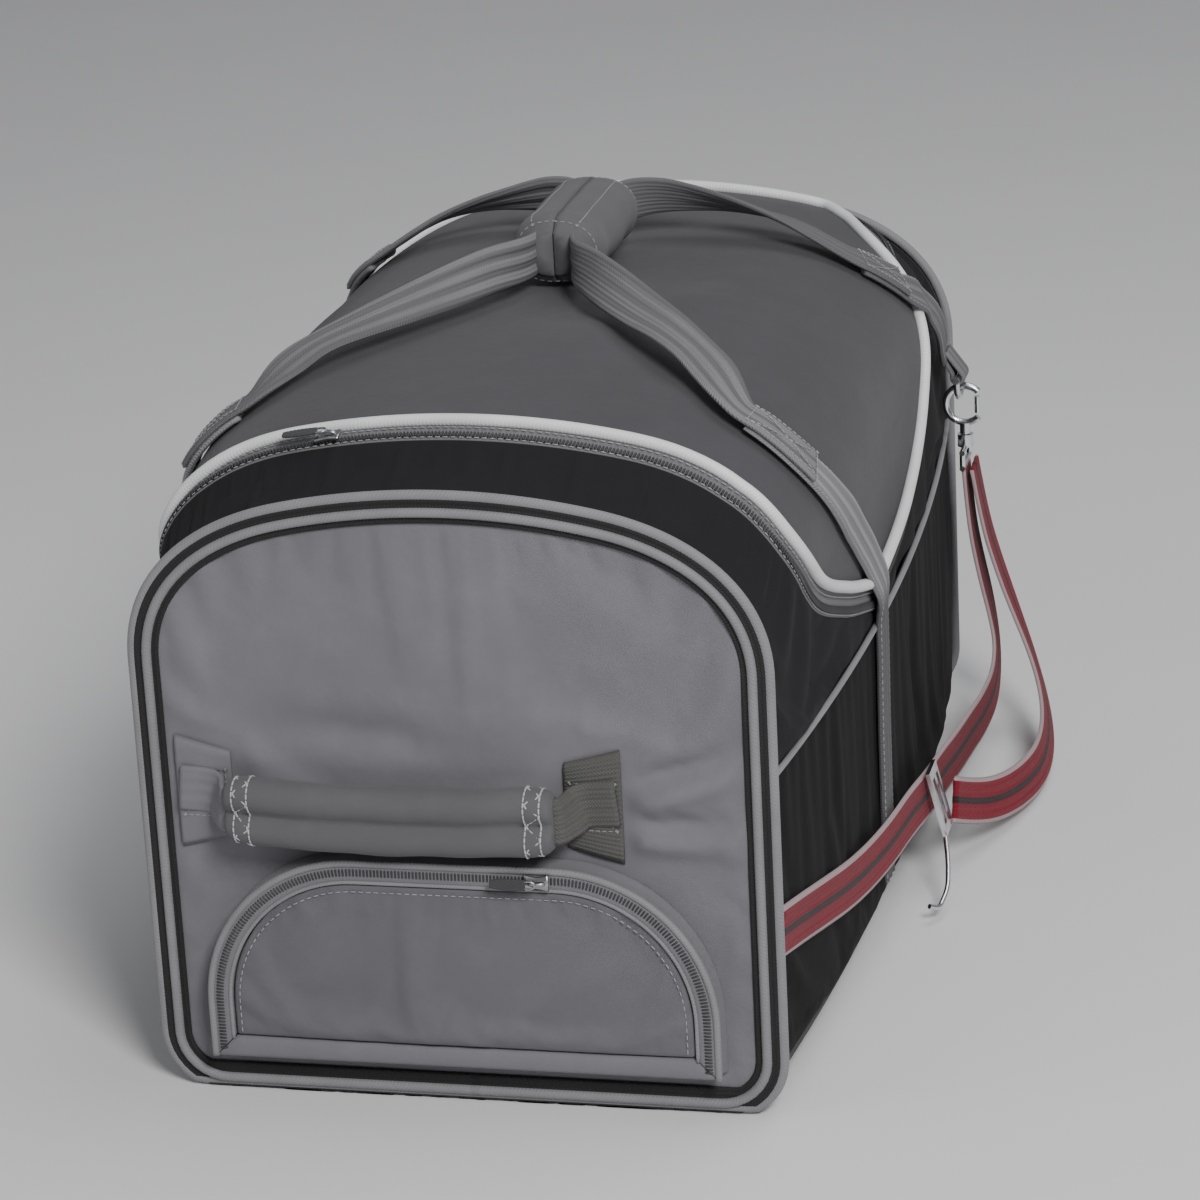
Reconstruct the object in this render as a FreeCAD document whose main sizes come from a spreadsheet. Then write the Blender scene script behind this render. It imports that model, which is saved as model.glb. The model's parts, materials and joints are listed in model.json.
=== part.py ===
import FreeCAD, Part
import Sketcher
import math
import os

# Sports duffel with domed ends, a centre band between two zipped arcs, carry handles and a shoulder strap.
# Frame: millimetres, +Z up, length along Y, the pocket end faces -Y, origin at the centre of the base.

Vec = FreeCAD.Vector
X_AXIS = Vec(1, 0, 0)
Y_AXIS = Vec(0, 1, 0)
Z_AXIS = Vec(0, 0, 1)

doc = FreeCAD.newDocument("Duffel")
sheet = doc.addObject("Spreadsheet::Sheet", "Sizes")

DIMENSIONS = {
    # body of the bag
    "bag_length": 630, "end_width": 334, "middle_width": 370, "end_height": 335, "middle_height": 368,
    "side_power": 2, "crown_power": 5,
    "skin": 4, "end_skin": 6, "shoulder": 82, "base_corner": 32, "crown_sag": 9,
    "base_height": 26, "base_trim": 0.5, "seam_height": 190, "gap": 0.6, "hood_gap": 1.8, "hood_low": 290,
    # centre band, its piping and its zips
    "arc_front": 252, "arc_rear": 245, "tip_forward": 75, "tip_height": 211,
    "tape_width": 14, "piping_width": 5, "piping_rise": 3.2, "coil_inset": 8,
    "coil_width": 4, "coil_rise": 1.6, "hood_half": 104, "end_piping_width": 6, "piping_low": 5,
    "seam_cord": 3, "seam_rise": 2,
    # webbing
    "webbing_wide": 26, "webbing_thick": 2.4, "webbing_inner": 112, "webbing_low": 32, "webbing_top": 344,
    # base board
    "board_width": 280, "board_length": 570, "board_thick": 3,
    # end pocket
    "pocket_half": 138, "pocket_low": 24, "pocket_high": 140, "pocket_corner": 84, "pocket_deep": 14,
    "rim_width": 12, "flap_thick": 3, "pocket_coil": 5, "pocket_coil_inset": 3,
    # end grab handle
    "grip_long": 176, "grip_high": 34, "grip_deep": 20, "grip_height": 170, "grip_stand": 6,
    "patch_wide": 30, "patch_high": 64, "patch_thick": 2.4, "patch_gap": 2, "grab_shift": 30, "grab_tab": 32,
    # carry handles
    "foot_out": 131, "foot_height": 360, "foot_front": 185, "foot_rear": 110,
    "grip_front": 42, "grip_rear": 78, "grip_top": 391, "wrap_wide": 25, "wrap_high": 40, "wrap_long": 112,
    # strap hardware
    "ring_wire": 2, "ring_bar": 2.2, "ring_radius": 14, "ring_out": 185, "ring_back": 255, "ring_height": 236,
    "tab_wide": 20, "tab_high": 9, "hook_out": 3, "hook_drop": 19.5, "gate_inset": 3.1, "gate_shift": 0.6,
    "hook_wire": 2.2, "hook_radius": 12, "gate_wire": 1.7, "neck_radius": 3.4, "neck_long": 7,
    "barrel_radius": 5, "barrel_long": 8, "eye_wide": 34, "eye_high": 12, "eye_wire": 1.8,
    "strap_wide": 28, "strap_thick": 2.4, "glide_wide": 40, "glide_high": 24, "glide_thick": 2.6,
    "glide_slot": 6, "glide_slot_out": 5.5, "clip_wire": 1.5,
    # zip sliders and pullers
    "slider_long": 13, "slider_wide": 9, "slider_high": 4, "puller_long": 24, "puller_wide": 7,
    "puller_thick": 1.6, "slider_gap": 0.4, "zip_start": 70, "pocket_slider_out": 46,
}
for row, (alias, value) in enumerate(DIMENSIONS.items(), start=1):
    sheet.set("A%d" % row, alias)
    sheet.set("B%d" % row, str(value))
    sheet.setAlias("B%d" % row, alias)
doc.recompute()


def size(alias):
    return float(sheet.get(alias))


skin = size("skin")
gap = size("gap")
half_long = size("bag_length") / 2
end_skin = size("end_skin")
reach = 260          # half extent of the blocks that cut the skin, beyond every face of the bag
sky = 430            # a height above every part of the bag
ROUND_PULL = 0.5523  # pole distance that makes a Bezier quarter look round, as a share of its radius
ARC_SHARE = 0.45     # share of the shorter run that each arc of a strap's route takes
parts = {}

# Side view of the centre band's two edges, from the crown to the tip: y, z, and the way out of the band.
ARC_TIP = (-size("tip_forward"), size("tip_height"), -0.1, -1)
FRONT_ARC = [(-size("arc_front"), 325, -1, 0), (-246, 296, -0.95, -0.3), (-214, 262, -0.6, -0.8),
             (-150, 234, -0.35, -0.94), ARC_TIP]
REAR_ARC = [(size("arc_rear"), 347, 1, 0), (222, 343, 0.3, -0.95), (186, 335, 0.4, -0.9),
            (142, 290, 0.72, -0.69), (106, 253, 0.6, -0.8), (36, 226, 0.25, -0.97), ARC_TIP]

# Side view of the sewn webbing's middle: from each front foot round the tip, and below each rear foot.
SIDE_ROUTE = [(-194, 348), (-190, 322), (-169, 294), (-130, 262), (-92, 230), (-73, 200), (-73, 120), (-73, 34)]
REAR_ROUTE = [(102, 352), (150, 318), (205, 285), (251, 254)]

# Carry handle on the right, from its front foot to its rear foot: middle, then the way its width lies.
FRONT_LEG = [((104, -158, 372), (0.75, 0.66, 0.1)), ((66, -116, 382), (0.6, 0.6, 0.5)),
             ((30, -74, 390), (0.3, 0.3, 0.9))]
REAR_LEG = [((32, 96, 391), (-0.3, 0.3, 0.9)), ((70, 106, 384), (-0.35, 0.8, 0.5)),
            ((106, 110, 373), (-0.2, 0.97, 0.2))]
FRONT_FOOT_ACROSS = (0.75, 0.66, 0.2)
REAR_FOOT_ACROSS = (-0.1, 1, 0)

# Shoulder strap, from the swivel's eye to the front seam, and its slack stretch from the eye to the slider.
STRAP_ROUTE = [
    (190, 256, 142), (195, 259, 110), (201, 262, 80), (206, 254, 55), (208, 226, 39), (206, 186, 36),
    (204, 142, 40), (202, 96, 44), (200, 50, 50), (198, 6, 54), (195, -40, 60), (192, -88, 63),
    (188, -136, 68), (184, -184, 76), (178.5, -232, 86), (173, -272, 94), (169.6, -309, 102),
]
SLACK_ROUTE = [
    (198, 260, 140), (206, 264, 108), (216, 264, 78), (228, 252, 52), (239, 226, 33), (246, 190, 22),
    (247, 150, 18), (241, 111, 19), (231, 74, 24), (220, 42, 34), (212, 16, 46),
]
STRAP_START = (188, 255)
SLACK_START = (193, 256)
GLIDE_AT = Vec(204, 2, 52)
GLIDE_TILT = 76
CLIP_ROUTE = [Vec(211, -14, 34), Vec(214, -26, 24), Vec(216, -42, 14), Vec(213, -57, 8), Vec(208, -62, 11)]


# ---------------------------------------------------------------- helpers
def keep(name, obj):
    """Remember a finished sub-part under its file name."""
    obj.Label = name
    parts[name] = obj
    return obj


def solid_of(shape):
    """The single solid of a result, or the compound where it is a group."""
    shape = shape.removeSplitter()
    return shape.Solids[0] if len(shape.Solids) == 1 else shape


def feature(name, shape):
    """A sub-part whose shape is worked out with Part's own functions."""
    obj = doc.addObject("Part::Feature", name)
    obj.Shape = solid_of(shape)
    obj.Placement = FreeCAD.Placement()
    return keep(name, obj)


def bind(obj, **properties):
    for prop, expression in properties.items():
        obj.setExpression(prop, expression)
    return obj


def cell(alias):
    return "Sizes." + alias


def place(obj, at, axis=Z_AXIS, angle=0):
    obj.Placement = FreeCAD.Placement(at, FreeCAD.Rotation(axis, angle))
    return obj


def bound_cylinder(name, radius, height, at, axis=Z_AXIS, angle=0):
    obj = doc.addObject("Part::Cylinder", name)
    bind(obj, Radius=radius, Height=height)
    return place(obj, at, axis, angle)


def fused(name, pieces):
    obj = doc.addObject("Part::MultiFuse", name)
    obj.Shapes = pieces
    return keep(name, obj)


def cut(name, base, tool):
    obj = doc.addObject("Part::Cut", name)
    obj.Base = base
    obj.Tool = tool
    return keep(name, obj)


def plate(name, wide, high, thick, placement):
    """A PartDesign plate: a centred rectangle padded by its thickness, sizes bound to the sheet."""
    body = doc.addObject("PartDesign::Body", name)
    sketch = body.newObject("Sketcher::SketchObject", name + "_outline")
    plane = [o for o in body.Origin.OriginFeatures if o.Role == "XY_Plane"][0]
    sketch.AttachmentSupport = [(plane, "")]
    sketch.MapMode = "FlatFace"
    corners = [Vec(-5, -5, 0), Vec(5, -5, 0), Vec(5, 5, 0), Vec(-5, 5, 0)]
    for i in range(4):
        sketch.addGeometry(Part.LineSegment(corners[i], corners[(i + 1) % 4]))
    for i in range(4):
        sketch.addConstraint(Sketcher.Constraint("Coincident", i, 2, (i + 1) % 4, 1))
    for i in (0, 2):
        sketch.addConstraint(Sketcher.Constraint("Horizontal", i))
    for i in (1, 3):
        sketch.addConstraint(Sketcher.Constraint("Vertical", i))
    sketch.addConstraint(Sketcher.Constraint("Symmetric", 0, 1, 2, 1, -1, 1))
    across = sketch.addConstraint(Sketcher.Constraint("DistanceX", 0, 1, 0, 2, 10))
    along = sketch.addConstraint(Sketcher.Constraint("DistanceY", 1, 1, 1, 2, 10))
    sketch.setExpression("Constraints[%d]" % across, wide)
    sketch.setExpression("Constraints[%d]" % along, high)
    pad = body.newObject("PartDesign::Pad", name + "_pad")
    pad.Profile = sketch
    bind(pad, Length=thick)
    body.Placement = placement
    return body


# ---------------------------------------------------------------- the body's outline
def fullness(y, power):
    """How far the bag has filled out at y: 0 at its ends, 1 in the middle."""
    return 1 - abs(y / half_long) ** power


def half_width(y):
    gain = (size("middle_width") - size("end_width")) / 2
    return size("end_width") / 2 + gain * fullness(y, size("side_power"))


def crown(y):
    gain = size("middle_height") - size("end_height")
    return size("end_height") + gain * fullness(y, size("crown_power"))


def crown_slope(y):
    """Degrees that the crown climbs along +Y at y."""
    power = size("crown_power")
    gain = size("middle_height") - size("end_height")
    climb = gain * power / half_long * abs(y / half_long) ** (power - 1)
    return math.degrees(math.atan(math.copysign(climb, -y)))


def bezier(*poles):
    curve = Part.BezierCurve()
    curve.setPoles(list(poles))
    return curve.toShape()


def section(y, inset):
    """Closed outline of the bag across its length at y, moved inwards by inset."""
    w = half_width(y) - inset
    h = crown(y) - inset
    low = inset if inset > 0 else -size("base_trim")
    round_top = size("shoulder") - inset
    round_low = size("base_corner") - inset
    flat = w - round_top
    drop = h - size("crown_sag")
    side_top = drop - round_top
    arc_radius = (flat ** 2 + size("crown_sag") ** 2) / (2 * size("crown_sag"))
    lean = math.asin(flat / arc_radius)
    pull = ROUND_PULL * round_top
    soft = ROUND_PULL * round_low

    def at(x, z):
        return Vec(x, y, z)

    def shoulder_curve(sign):
        return [at(sign * flat, drop),
                at(sign * (flat + pull * math.cos(lean)), drop - pull * math.sin(lean)),
                at(sign * w, side_top + pull),
                at(sign * w, side_top)]

    def corner_curve(sign):
        return [at(sign * w, low + round_low), at(sign * w, low + round_low - soft),
                at(sign * (w - round_low + soft), low), at(sign * (w - round_low), low)]

    edges = [
        Part.Arc(at(-flat, drop), at(0, h), at(flat, drop)).toShape(),
        bezier(*shoulder_curve(1)),
        Part.LineSegment(at(w, side_top), at(w, low + round_low)).toShape(),
        bezier(*corner_curve(1)),
        Part.LineSegment(at(w - round_low, low), at(round_low - w, low)).toShape(),
        bezier(*reversed(corner_curve(-1))),
        Part.LineSegment(at(-w, low + round_low), at(-w, side_top)).toShape(),
        bezier(*reversed(shoulder_curve(-1))),
    ]
    return Part.Wire(edges)


bodies = {}


def body_at(inset):
    """The whole bag as one solid, inset from its outer face (negative stands proud)."""
    if inset not in bodies:
        end = half_long - (end_skin if inset > 0 else 0)
        stations = [end * t for t in (-1, -0.9, -0.75, -0.5, 0, 0.5, 0.75, 0.9, 1)]
        bodies[inset] = Part.makeLoft([section(y, inset) for y in stations], True, False)
    return bodies[inset]


def block(x0, x1, y0, y1, z0, z1):
    return Part.makeBox(x1 - x0, y1 - y0, z1 - z0, Vec(x0, y0, z0))


def layer(outer, inner, region):
    """The skin between two insets, within a region."""
    return body_at(outer).common(region).cut(body_at(inner))


def band_region(grow):
    """Prism across the bag, over the centre band's side outline grown by grow."""
    def moved(points):
        return [Vec(-reach, y + grow * ny, z + grow * nz) for y, z, ny, nz in points]

    def curve(points):
        spline = Part.BSplineCurve()
        spline.interpolate(points)
        return spline.toShape()

    front_points = moved(FRONT_ARC)
    rear_points = moved(REAR_ARC)
    top_front = Vec(-reach, front_points[0].y, sky)
    top_rear = Vec(-reach, rear_points[0].y, sky)
    outline = Part.Wire([
        Part.LineSegment(top_front, front_points[0]).toShape(),
        curve(front_points),
        curve(list(reversed(rear_points))),
        Part.LineSegment(rear_points[0], top_rear).toShape(),
        Part.LineSegment(top_rear, top_front).toShape(),
    ])
    return Part.Face(outline).extrude(Vec(2 * reach, 0, 0))


def side_band(points, wide, side):
    """Prism over a strip of webbing that runs through side-view points, on one side of the bag."""
    left = []
    right = []
    for i, (y, z) in enumerate(points):
        before = points[max(i - 1, 0)]
        after = points[min(i + 1, len(points) - 1)]
        run = math.hypot(after[0] - before[0], after[1] - before[1])
        ny = (after[1] - before[1]) / run * wide / 2
        nz = -(after[0] - before[0]) / run * wide / 2
        left.append(Vec(0, y - ny, z - nz))
        right.append(Vec(0, y + ny, z + nz))
    outline = left + right[::-1]
    face = Part.Face(Part.makePolygon(outline + outline[:1]))
    return face.extrude(Vec(side * reach, 0, 0))


# ---------------------------------------------------------------- skin panels
tip_y = -size("tip_forward")
inner_end = half_long - end_skin
seam = size("seam_height")
base_top = size("base_height")
tape = size("tape_width")
hood_half = size("hood_half")
shell = body_at(0).cut(body_at(skin))
taped = band_region(tape)
hood_low = size("hood_low")
hood_space = block(-hood_half, hood_half, -reach * 2, reach * 2, hood_low, sky)

# The outline is drawn a little below the base plane and trimmed, so that the base is truly flat.
feature("base_panel", shell.common(block(-reach, reach, -inner_end, inner_end, 0, base_top)))
SIDES = {"right": 1, "left": -1}
ENDS = {"front": -1, "rear": 1}
for side, sx in SIDES.items():
    x0, x1 = sorted((0, sx * reach))
    feature("side_panel_" + side,
            shell.common(block(x0, x1, -inner_end, inner_end, base_top, seam)))
    upper = shell.common(block(x0, x1, -inner_end, inner_end, seam, sky)).cut(taped).cut(hood_space)
    for end in ENDS:
        y0, y1 = (-inner_end, tip_y) if end == "front" else (tip_y, inner_end)
        feature("%s_gusset_%s" % (end, side), upper.common(block(-reach, reach, y0, y1, seam, sky)))
for end, sy in ENDS.items():
    y0, y1 = sorted((sy * inner_end, sy * half_long))
    feature("end_panel_" + end, body_at(0).common(block(-reach, reach, y0, y1, 0, sky)))
    near, far = (y0, y0 + size("end_piping_width")) if sy < 0 else (y1 - size("end_piping_width"), y1)
    feature("end_piping_" + end,
            layer(-size("piping_rise"), 0, block(-reach, reach, near, far, size("piping_low"), sky)))

# The centre band, the zip tapes either side of it, the raised coils and the white piping.
band = band_region(0)
feature("centre_band", shell.common(band))
loop_tape = shell.common(taped).cut(band)
coil_inset = size("coil_inset")
coil_ring = band_region(coil_inset + size("coil_width")).cut(band_region(coil_inset))
loop_coil = layer(-size("coil_rise"), 0, coil_ring)
loop_piping = layer(-size("piping_rise"), 0, band.cut(band_region(-size("piping_width"))))
front_half = block(-reach, reach, -2 * reach, tip_y, 0, sky)
rear_half = block(-reach, reach, tip_y, 2 * reach, 0, sky)

# Sewn webbing: from each front foot to the band's tip and down the side, and below each rear foot.
under_webbing = []
webbing_rise = size("webbing_thick") + size("piping_rise")
for side, sx in SIDES.items():
    x0, x1 = sorted((sx * size("webbing_inner"), sx * reach))
    lane = block(x0, x1, -reach * 2, reach * 2, size("webbing_low"), size("webbing_top"))
    for run, route in (("side_webbing", SIDE_ROUTE), ("rear_webbing", REAR_ROUTE)):
        strip = side_band(route, size("webbing_wide"), sx).common(lane)
        under_webbing.append(strip)
        feature("%s_%s" % (run, side), layer(-webbing_rise, 0, strip).removeSplitter())


def clear_of_webbing(shape):
    for strip in under_webbing:
        shape = shape.cut(strip)
    return shape


for end, half in (("front", front_half), ("rear", rear_half)):
    feature(end + "_zip_tape", loop_tape.common(half))
    feature(end + "_zip_coil", clear_of_webbing(loop_coil.common(half)))
    feature(end + "_arc_piping", clear_of_webbing(loop_piping.common(half)))

# Side seam piping, a raised line from the front end to the rear, between side panel and gussets.
for side, sx in SIDES.items():
    x0, x1 = sorted((0, sx * reach))
    line = block(x0, x1, -inner_end, inner_end, seam - size("seam_cord"), seam)
    end_clear = block(-reach, reach, -half_long + size("end_piping_width"),
                      half_long - size("end_piping_width"), 0, sky)
    feature("side_seam_" + side, clear_of_webbing(layer(-size("seam_rise"), 0, line.common(end_clear))))

# Hoods: the flaps over the crown between each zip and the end panel.
hood_area = block(-hood_half + gap, hood_half - gap, -inner_end + gap, inner_end - gap, hood_low, sky)
hoods = shell.common(hood_area).cut(band_region(tape + size("hood_gap")))
feature("front_hood", hoods.common(front_half))
feature("rear_hood", hoods.common(rear_half))

# Base board, a stiff sheet that lies loose inside on the base panel.
keep("base_board", plate("base_board", cell("board_width"), cell("board_length"), cell("board_thick"),
                         FreeCAD.Placement(Vec(0, 0, skin + gap), FreeCAD.Rotation())))


# ---------------------------------------------------------------- end pocket
pocket_face = -half_long


def d_shape(name, inset, deep, start):
    """A D-shaped slab standing out of the front end panel: two rounded top corners, a square foot."""
    half = "(%s-(%s))" % (cell("pocket_half"), inset)
    low = "(%s+(%s))" % (cell("pocket_low"), inset)
    high = "(%s-(%s))" % (cell("pocket_high"), inset)
    corner = "(%s-(%s))" % (cell("pocket_corner"), inset)
    foot = doc.addObject("Part::Box", name + "_foot")
    bind(foot, Length="2*%s" % half, Width=deep, Height="%s-%s-%s" % (high, low, corner))
    head = doc.addObject("Part::Box", name + "_head")
    bind(head, Length="2*%s-2*%s" % (half, corner), Width=deep, Height="%s-%s" % (high, low))
    inset_mm = float(sheet.evalExpression(inset)) if inset != "0" else 0.0
    depth_mm = float(sheet.evalExpression(deep))
    half_mm = size("pocket_half") - inset_mm
    corner_mm = size("pocket_corner") - inset_mm
    low_mm = size("pocket_low") + inset_mm
    high_mm = size("pocket_high") - inset_mm
    back = start - depth_mm
    place(foot, Vec(-half_mm, back, low_mm))
    place(head, Vec(corner_mm - half_mm, back, low_mm))
    rounds = []
    for sign in (-1, 1):
        at = Vec(sign * (half_mm - corner_mm), start, high_mm - corner_mm)
        rounds.append(bound_cylinder("%s_round_%d" % (name, sign + 1), corner, deep, at, X_AXIS, 90))
    whole = doc.addObject("Part::MultiFuse", name + "_full")
    whole.Shapes = [foot, head] + rounds
    frame = doc.addObject("Part::Box", name + "_frame")
    bind(frame, Length="2*%s" % half, Width=deep, Height="%s-%s" % (high, low))
    place(frame, Vec(-half_mm, back, low_mm))
    outline = doc.addObject("Part::Common", name + "_d")
    outline.Base = whole
    outline.Tool = frame
    return outline


def ring_d(name, outer_inset, inner_inset, deep, start):
    outer = d_shape(name + "_outer", outer_inset, deep, start)
    inner = d_shape(name + "_inner", inner_inset, deep, start)
    return cut(name, outer, inner)


ring_d("pocket_rim", "0", cell("rim_width"), cell("pocket_deep"), pocket_face)
pocket_front = pocket_face - size("pocket_deep")
coil_edge = cell("pocket_coil_inset")
ring_d("pocket_zip", coil_edge, coil_edge + "+" + cell("pocket_coil"), cell("coil_rise"), pocket_front)
flap_start = pocket_front + size("flap_thick")
flap_inset = cell("rim_width") + "+" + cell("gap")
keep("pocket_flap", d_shape("pocket_flap", flap_inset, cell("flap_thick"), flap_start))


# ---------------------------------------------------------------- zip sliders and pullers
# Each main slider rides its coil over the crown, about the centre of the crown's arc.
slider_gap = size("slider_gap")
coil_middle = coil_inset + size("coil_width") / 2
zip_lines = {"front_zip": -size("arc_front") - coil_middle, "rear_zip": size("arc_rear") + coil_middle}
for prefix, y in zip_lines.items():
    flat = half_width(y) - size("shoulder")
    radius = (flat ** 2 + size("crown_sag") ** 2) / (2 * size("crown_sag"))
    angle = math.degrees(math.asin(size("zip_start") / radius))
    spin = FreeCAD.Placement(Vec(0, y, crown(y) - radius), FreeCAD.Rotation(Y_AXIS, -angle))
    stand = Vec(0, 0, radius + size("coil_rise") + slider_gap)
    foot = spin.multiply(FreeCAD.Placement(stand, FreeCAD.Rotation(X_AXIS, crown_slope(y))))
    keep(prefix + "_slider", plate(prefix + "_slider", cell("slider_long"), cell("slider_wide"),
                                   cell("slider_high"), foot))
    hang = foot.multiply(FreeCAD.Placement(Vec(-size("puller_long") / 2, 0, size("slider_high") + slider_gap),
                                           FreeCAD.Rotation()))
    keep(prefix + "_puller", plate(prefix + "_puller", cell("puller_long"), cell("puller_wide"),
                                   cell("puller_thick"), hang))

# The pocket's slider stands on its zip's straight top run, and its puller lies along the zip.
pocket_top = size("pocket_high") - size("pocket_coil_inset") - size("pocket_coil") / 2
pocket_slider_x = size("pocket_slider_out")
coil_face = pocket_front - size("coil_rise") - slider_gap
facing = FreeCAD.Rotation(X_AXIS, 90)
keep("pocket_slider", plate("pocket_slider", cell("slider_long"), cell("slider_wide"), cell("slider_high"),
                            FreeCAD.Placement(Vec(pocket_slider_x, coil_face, pocket_top), facing)))
puller_face = coil_face - size("slider_high") - slider_gap
puller_at = Vec(pocket_slider_x - size("puller_long") / 2, puller_face, pocket_top)
keep("pocket_puller", plate("pocket_puller", cell("puller_long"), cell("puller_wide"), cell("puller_thick"),
                            FreeCAD.Placement(puller_at, facing)))


# ---------------------------------------------------------------- end grab handles
def grab_handle(end, sy):
    """Padded grip on webbing whose two ends hang from stitched patches. sy is -1 at the pocket end."""
    turn = FreeCAD.Rotation() if sy < 0 else FreeCAD.Rotation(Z_AXIS, 180)
    frame = FreeCAD.Placement(Vec(0, 0, 0), turn)
    wall = -half_long
    middle = -size("grab_shift")
    half_grip = size("grip_long") / 2
    z = size("grip_height")
    patch_out = half_grip + size("patch_wide") / 2 + size("patch_gap")
    for label, x in (("a", middle - patch_out), ("b", middle + patch_out)):
        foot = Vec(x, wall, z + size("patch_gap"))
        at = frame.multiply(FreeCAD.Placement(foot, FreeCAD.Rotation(X_AXIS, 90)))
        name = "grab_patch_%s_%s" % (end, label)
        keep(name, plate(name, cell("patch_wide"), cell("patch_high"), cell("patch_thick"), at))
    thick = size("webbing_thick")
    back = wall - size("patch_thick") - slider_gap
    core = back - size("grip_stand") - size("grip_deep") / 2
    low = z - size("webbing_wide") / 2
    high = z + size("webbing_wide") / 2
    inner = half_grip + thick
    outer = half_grip + size("patch_wide")
    pieces = [block(middle - inner, middle + inner, core - thick / 2, core + thick / 2, low, high)]
    for sign in (-1, 1):
        x_in = middle + sign * inner
        near, far = sorted((x_in, middle + sign * outer))
        pieces.append(block(near, far, back - thick, back, low, z + size("grab_tab")))
        near, far = sorted((x_in, x_in + sign * thick))
        pieces.append(block(near, far, core - thick / 2, back, low, high))
    web = pieces[0].multiFuse(pieces[1:]).removeSplitter()
    web.transformShape(frame.toMatrix(), True)
    web_part = feature("grab_webbing_" + end, web)
    grip_name = "grab_grip_" + end
    rounds = []
    ridge_out = size("grip_high") / 4
    for sign in (-1, 1):
        at = frame.multiply(FreeCAD.Placement(Vec(middle - half_grip, core, z + sign * ridge_out),
                                              FreeCAD.Rotation(Y_AXIS, 90)))
        ridge = doc.addObject("Part::Cylinder", "%s_ridge_%d" % (grip_name, sign + 1))
        bind(ridge, Radius=cell("grip_deep") + "/2", Height=cell("grip_long"))
        ridge.Placement = at
        rounds.append(ridge)
    ridges = doc.addObject("Part::MultiFuse", grip_name + "_ridges")
    ridges.Shapes = rounds
    cut(grip_name, ridges, web_part)


for end, sy in ENDS.items():
    grab_handle(end, sy)


# ---------------------------------------------------------------- carry handles
def rectangle(at, across, normal, wide, thick):
    a = across * (wide / 2)
    n = normal * (thick / 2)
    corners = [at - a - n, at + a - n, at + a + n, at - a + n]
    return Part.makePolygon(corners + corners[:1])


def ribbon(points, acrosses, wide, thick):
    """A band of webbing through points, its width turned to each across direction in turn."""
    wires = []
    for i, at in enumerate(points):
        run = points[min(i + 1, len(points) - 1)] - points[max(i - 1, 0)]
        across = Vec(*acrosses[i])
        across = (across - run * (across.dot(run) / run.dot(run))).normalize()
        normal = Vec(*run).normalize().cross(across)
        wires.append(rectangle(at, across, normal, wide, thick))
    return Part.makeLoft(wires, True, True)


def carry_handle(side, sx):
    foot_x = size("foot_out")
    foot_z = size("foot_height")
    top = size("grip_top")
    grip_x = size("wrap_wide") / 2
    front = -size("grip_front")
    rear = size("grip_rear")
    upright = (0, 0, 1)
    route = [((foot_x, -size("foot_front"), foot_z), FRONT_FOOT_ACROSS)] + FRONT_LEG
    route += [((grip_x, front, top), upright), ((grip_x, rear, top), upright)] + REAR_LEG
    route += [((foot_x, size("foot_rear"), foot_z), REAR_FOOT_ACROSS)]
    points = [Vec(sx * x, y, z) for (x, y, z), _ in route]
    acrosses = [(sx * a[0], a[1], a[2]) for _, a in route]
    band_shape = ribbon(points, acrosses, size("webbing_wide"), size("webbing_thick"))
    web = feature("carry_webbing_" + side, band_shape)
    name = "handle_wrap_" + side
    # Half sleeve: a flattened half cylinder whose flat side closes on its twin.
    middle = (front + rear) / 2
    sleeve = Part.Ellipse(Vec(0, 0, 0), size("wrap_wide"), size("wrap_high") / 2).toShape()
    tube = Part.Face(Part.Wire(sleeve)).extrude(Vec(0, 0, size("wrap_long")))
    tube_end = Vec(0, middle + size("wrap_long") / 2, top)
    tube.Placement = FreeCAD.Placement(tube_end, FreeCAD.Rotation(X_AXIS, 90))
    x0, x1 = sorted((sx * gap / 2, sx * reach))
    half = tube.common(block(x0, x1, -reach, reach, 0, sky))
    feature(name, half.cut(web.Shape))


for side, sx in SIDES.items():
    carry_handle(side, sx)


# ---------------------------------------------------------------- D-ring, its tab and the snap hook
ring_x = size("ring_out")
ring_y = size("ring_back")
ring_z = size("ring_height")
ring_r = size("ring_radius")
wire = size("ring_wire")

bar_end = wire + gap
bar_long = "2*%s+2*%s+2*%s" % (cell("ring_radius"), cell("ring_wire"), cell("gap"))
bar = bound_cylinder("ring_bar", cell("ring_bar"), bar_long,
                     Vec(ring_x, ring_y + ring_r + bar_end, ring_z), X_AXIS, 90)
bow = doc.addObject("Part::Torus", "ring_bow")
bind(bow, Radius1=cell("ring_radius"), Radius2=cell("ring_wire"))
bow.Angle3 = 180
place(bow, Vec(ring_x, ring_y, ring_z))
bow.Placement = FreeCAD.Placement(Vec(ring_x, ring_y, ring_z), FreeCAD.Rotation(Y_AXIS, -90).multiply(
    FreeCAD.Rotation(Z_AXIS, 90)))
fused("d_ring", [bar, bow])

# The tab is webbing folded round the ring's bar and stitched to the rear webbing's end.
bag_side = half_width(ring_y)
tab_wide = size("tab_wide")
clearance = 0.4
loop_out = size("ring_bar") + clearance
loop_solid = Part.makeCylinder(loop_out + size("webbing_thick"), tab_wide,
                               Vec(ring_x, ring_y - tab_wide / 2, ring_z), Y_AXIS)
tab_foot = block(bag_side - 1, ring_x + loop_out + size("webbing_thick"), ring_y - tab_wide / 2,
                 ring_y + tab_wide / 2, ring_z, ring_z + size("tab_high"))
loop_hole = Part.makeCylinder(loop_out, tab_wide, Vec(ring_x, ring_y - tab_wide / 2, ring_z), Y_AXIS)
tab = loop_solid.fuse(tab_foot).cut(loop_hole).cut(body_at(0))
tab = tab.cut(parts["rear_webbing_right"].Shape)
feature("ring_tab", tab)

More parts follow.
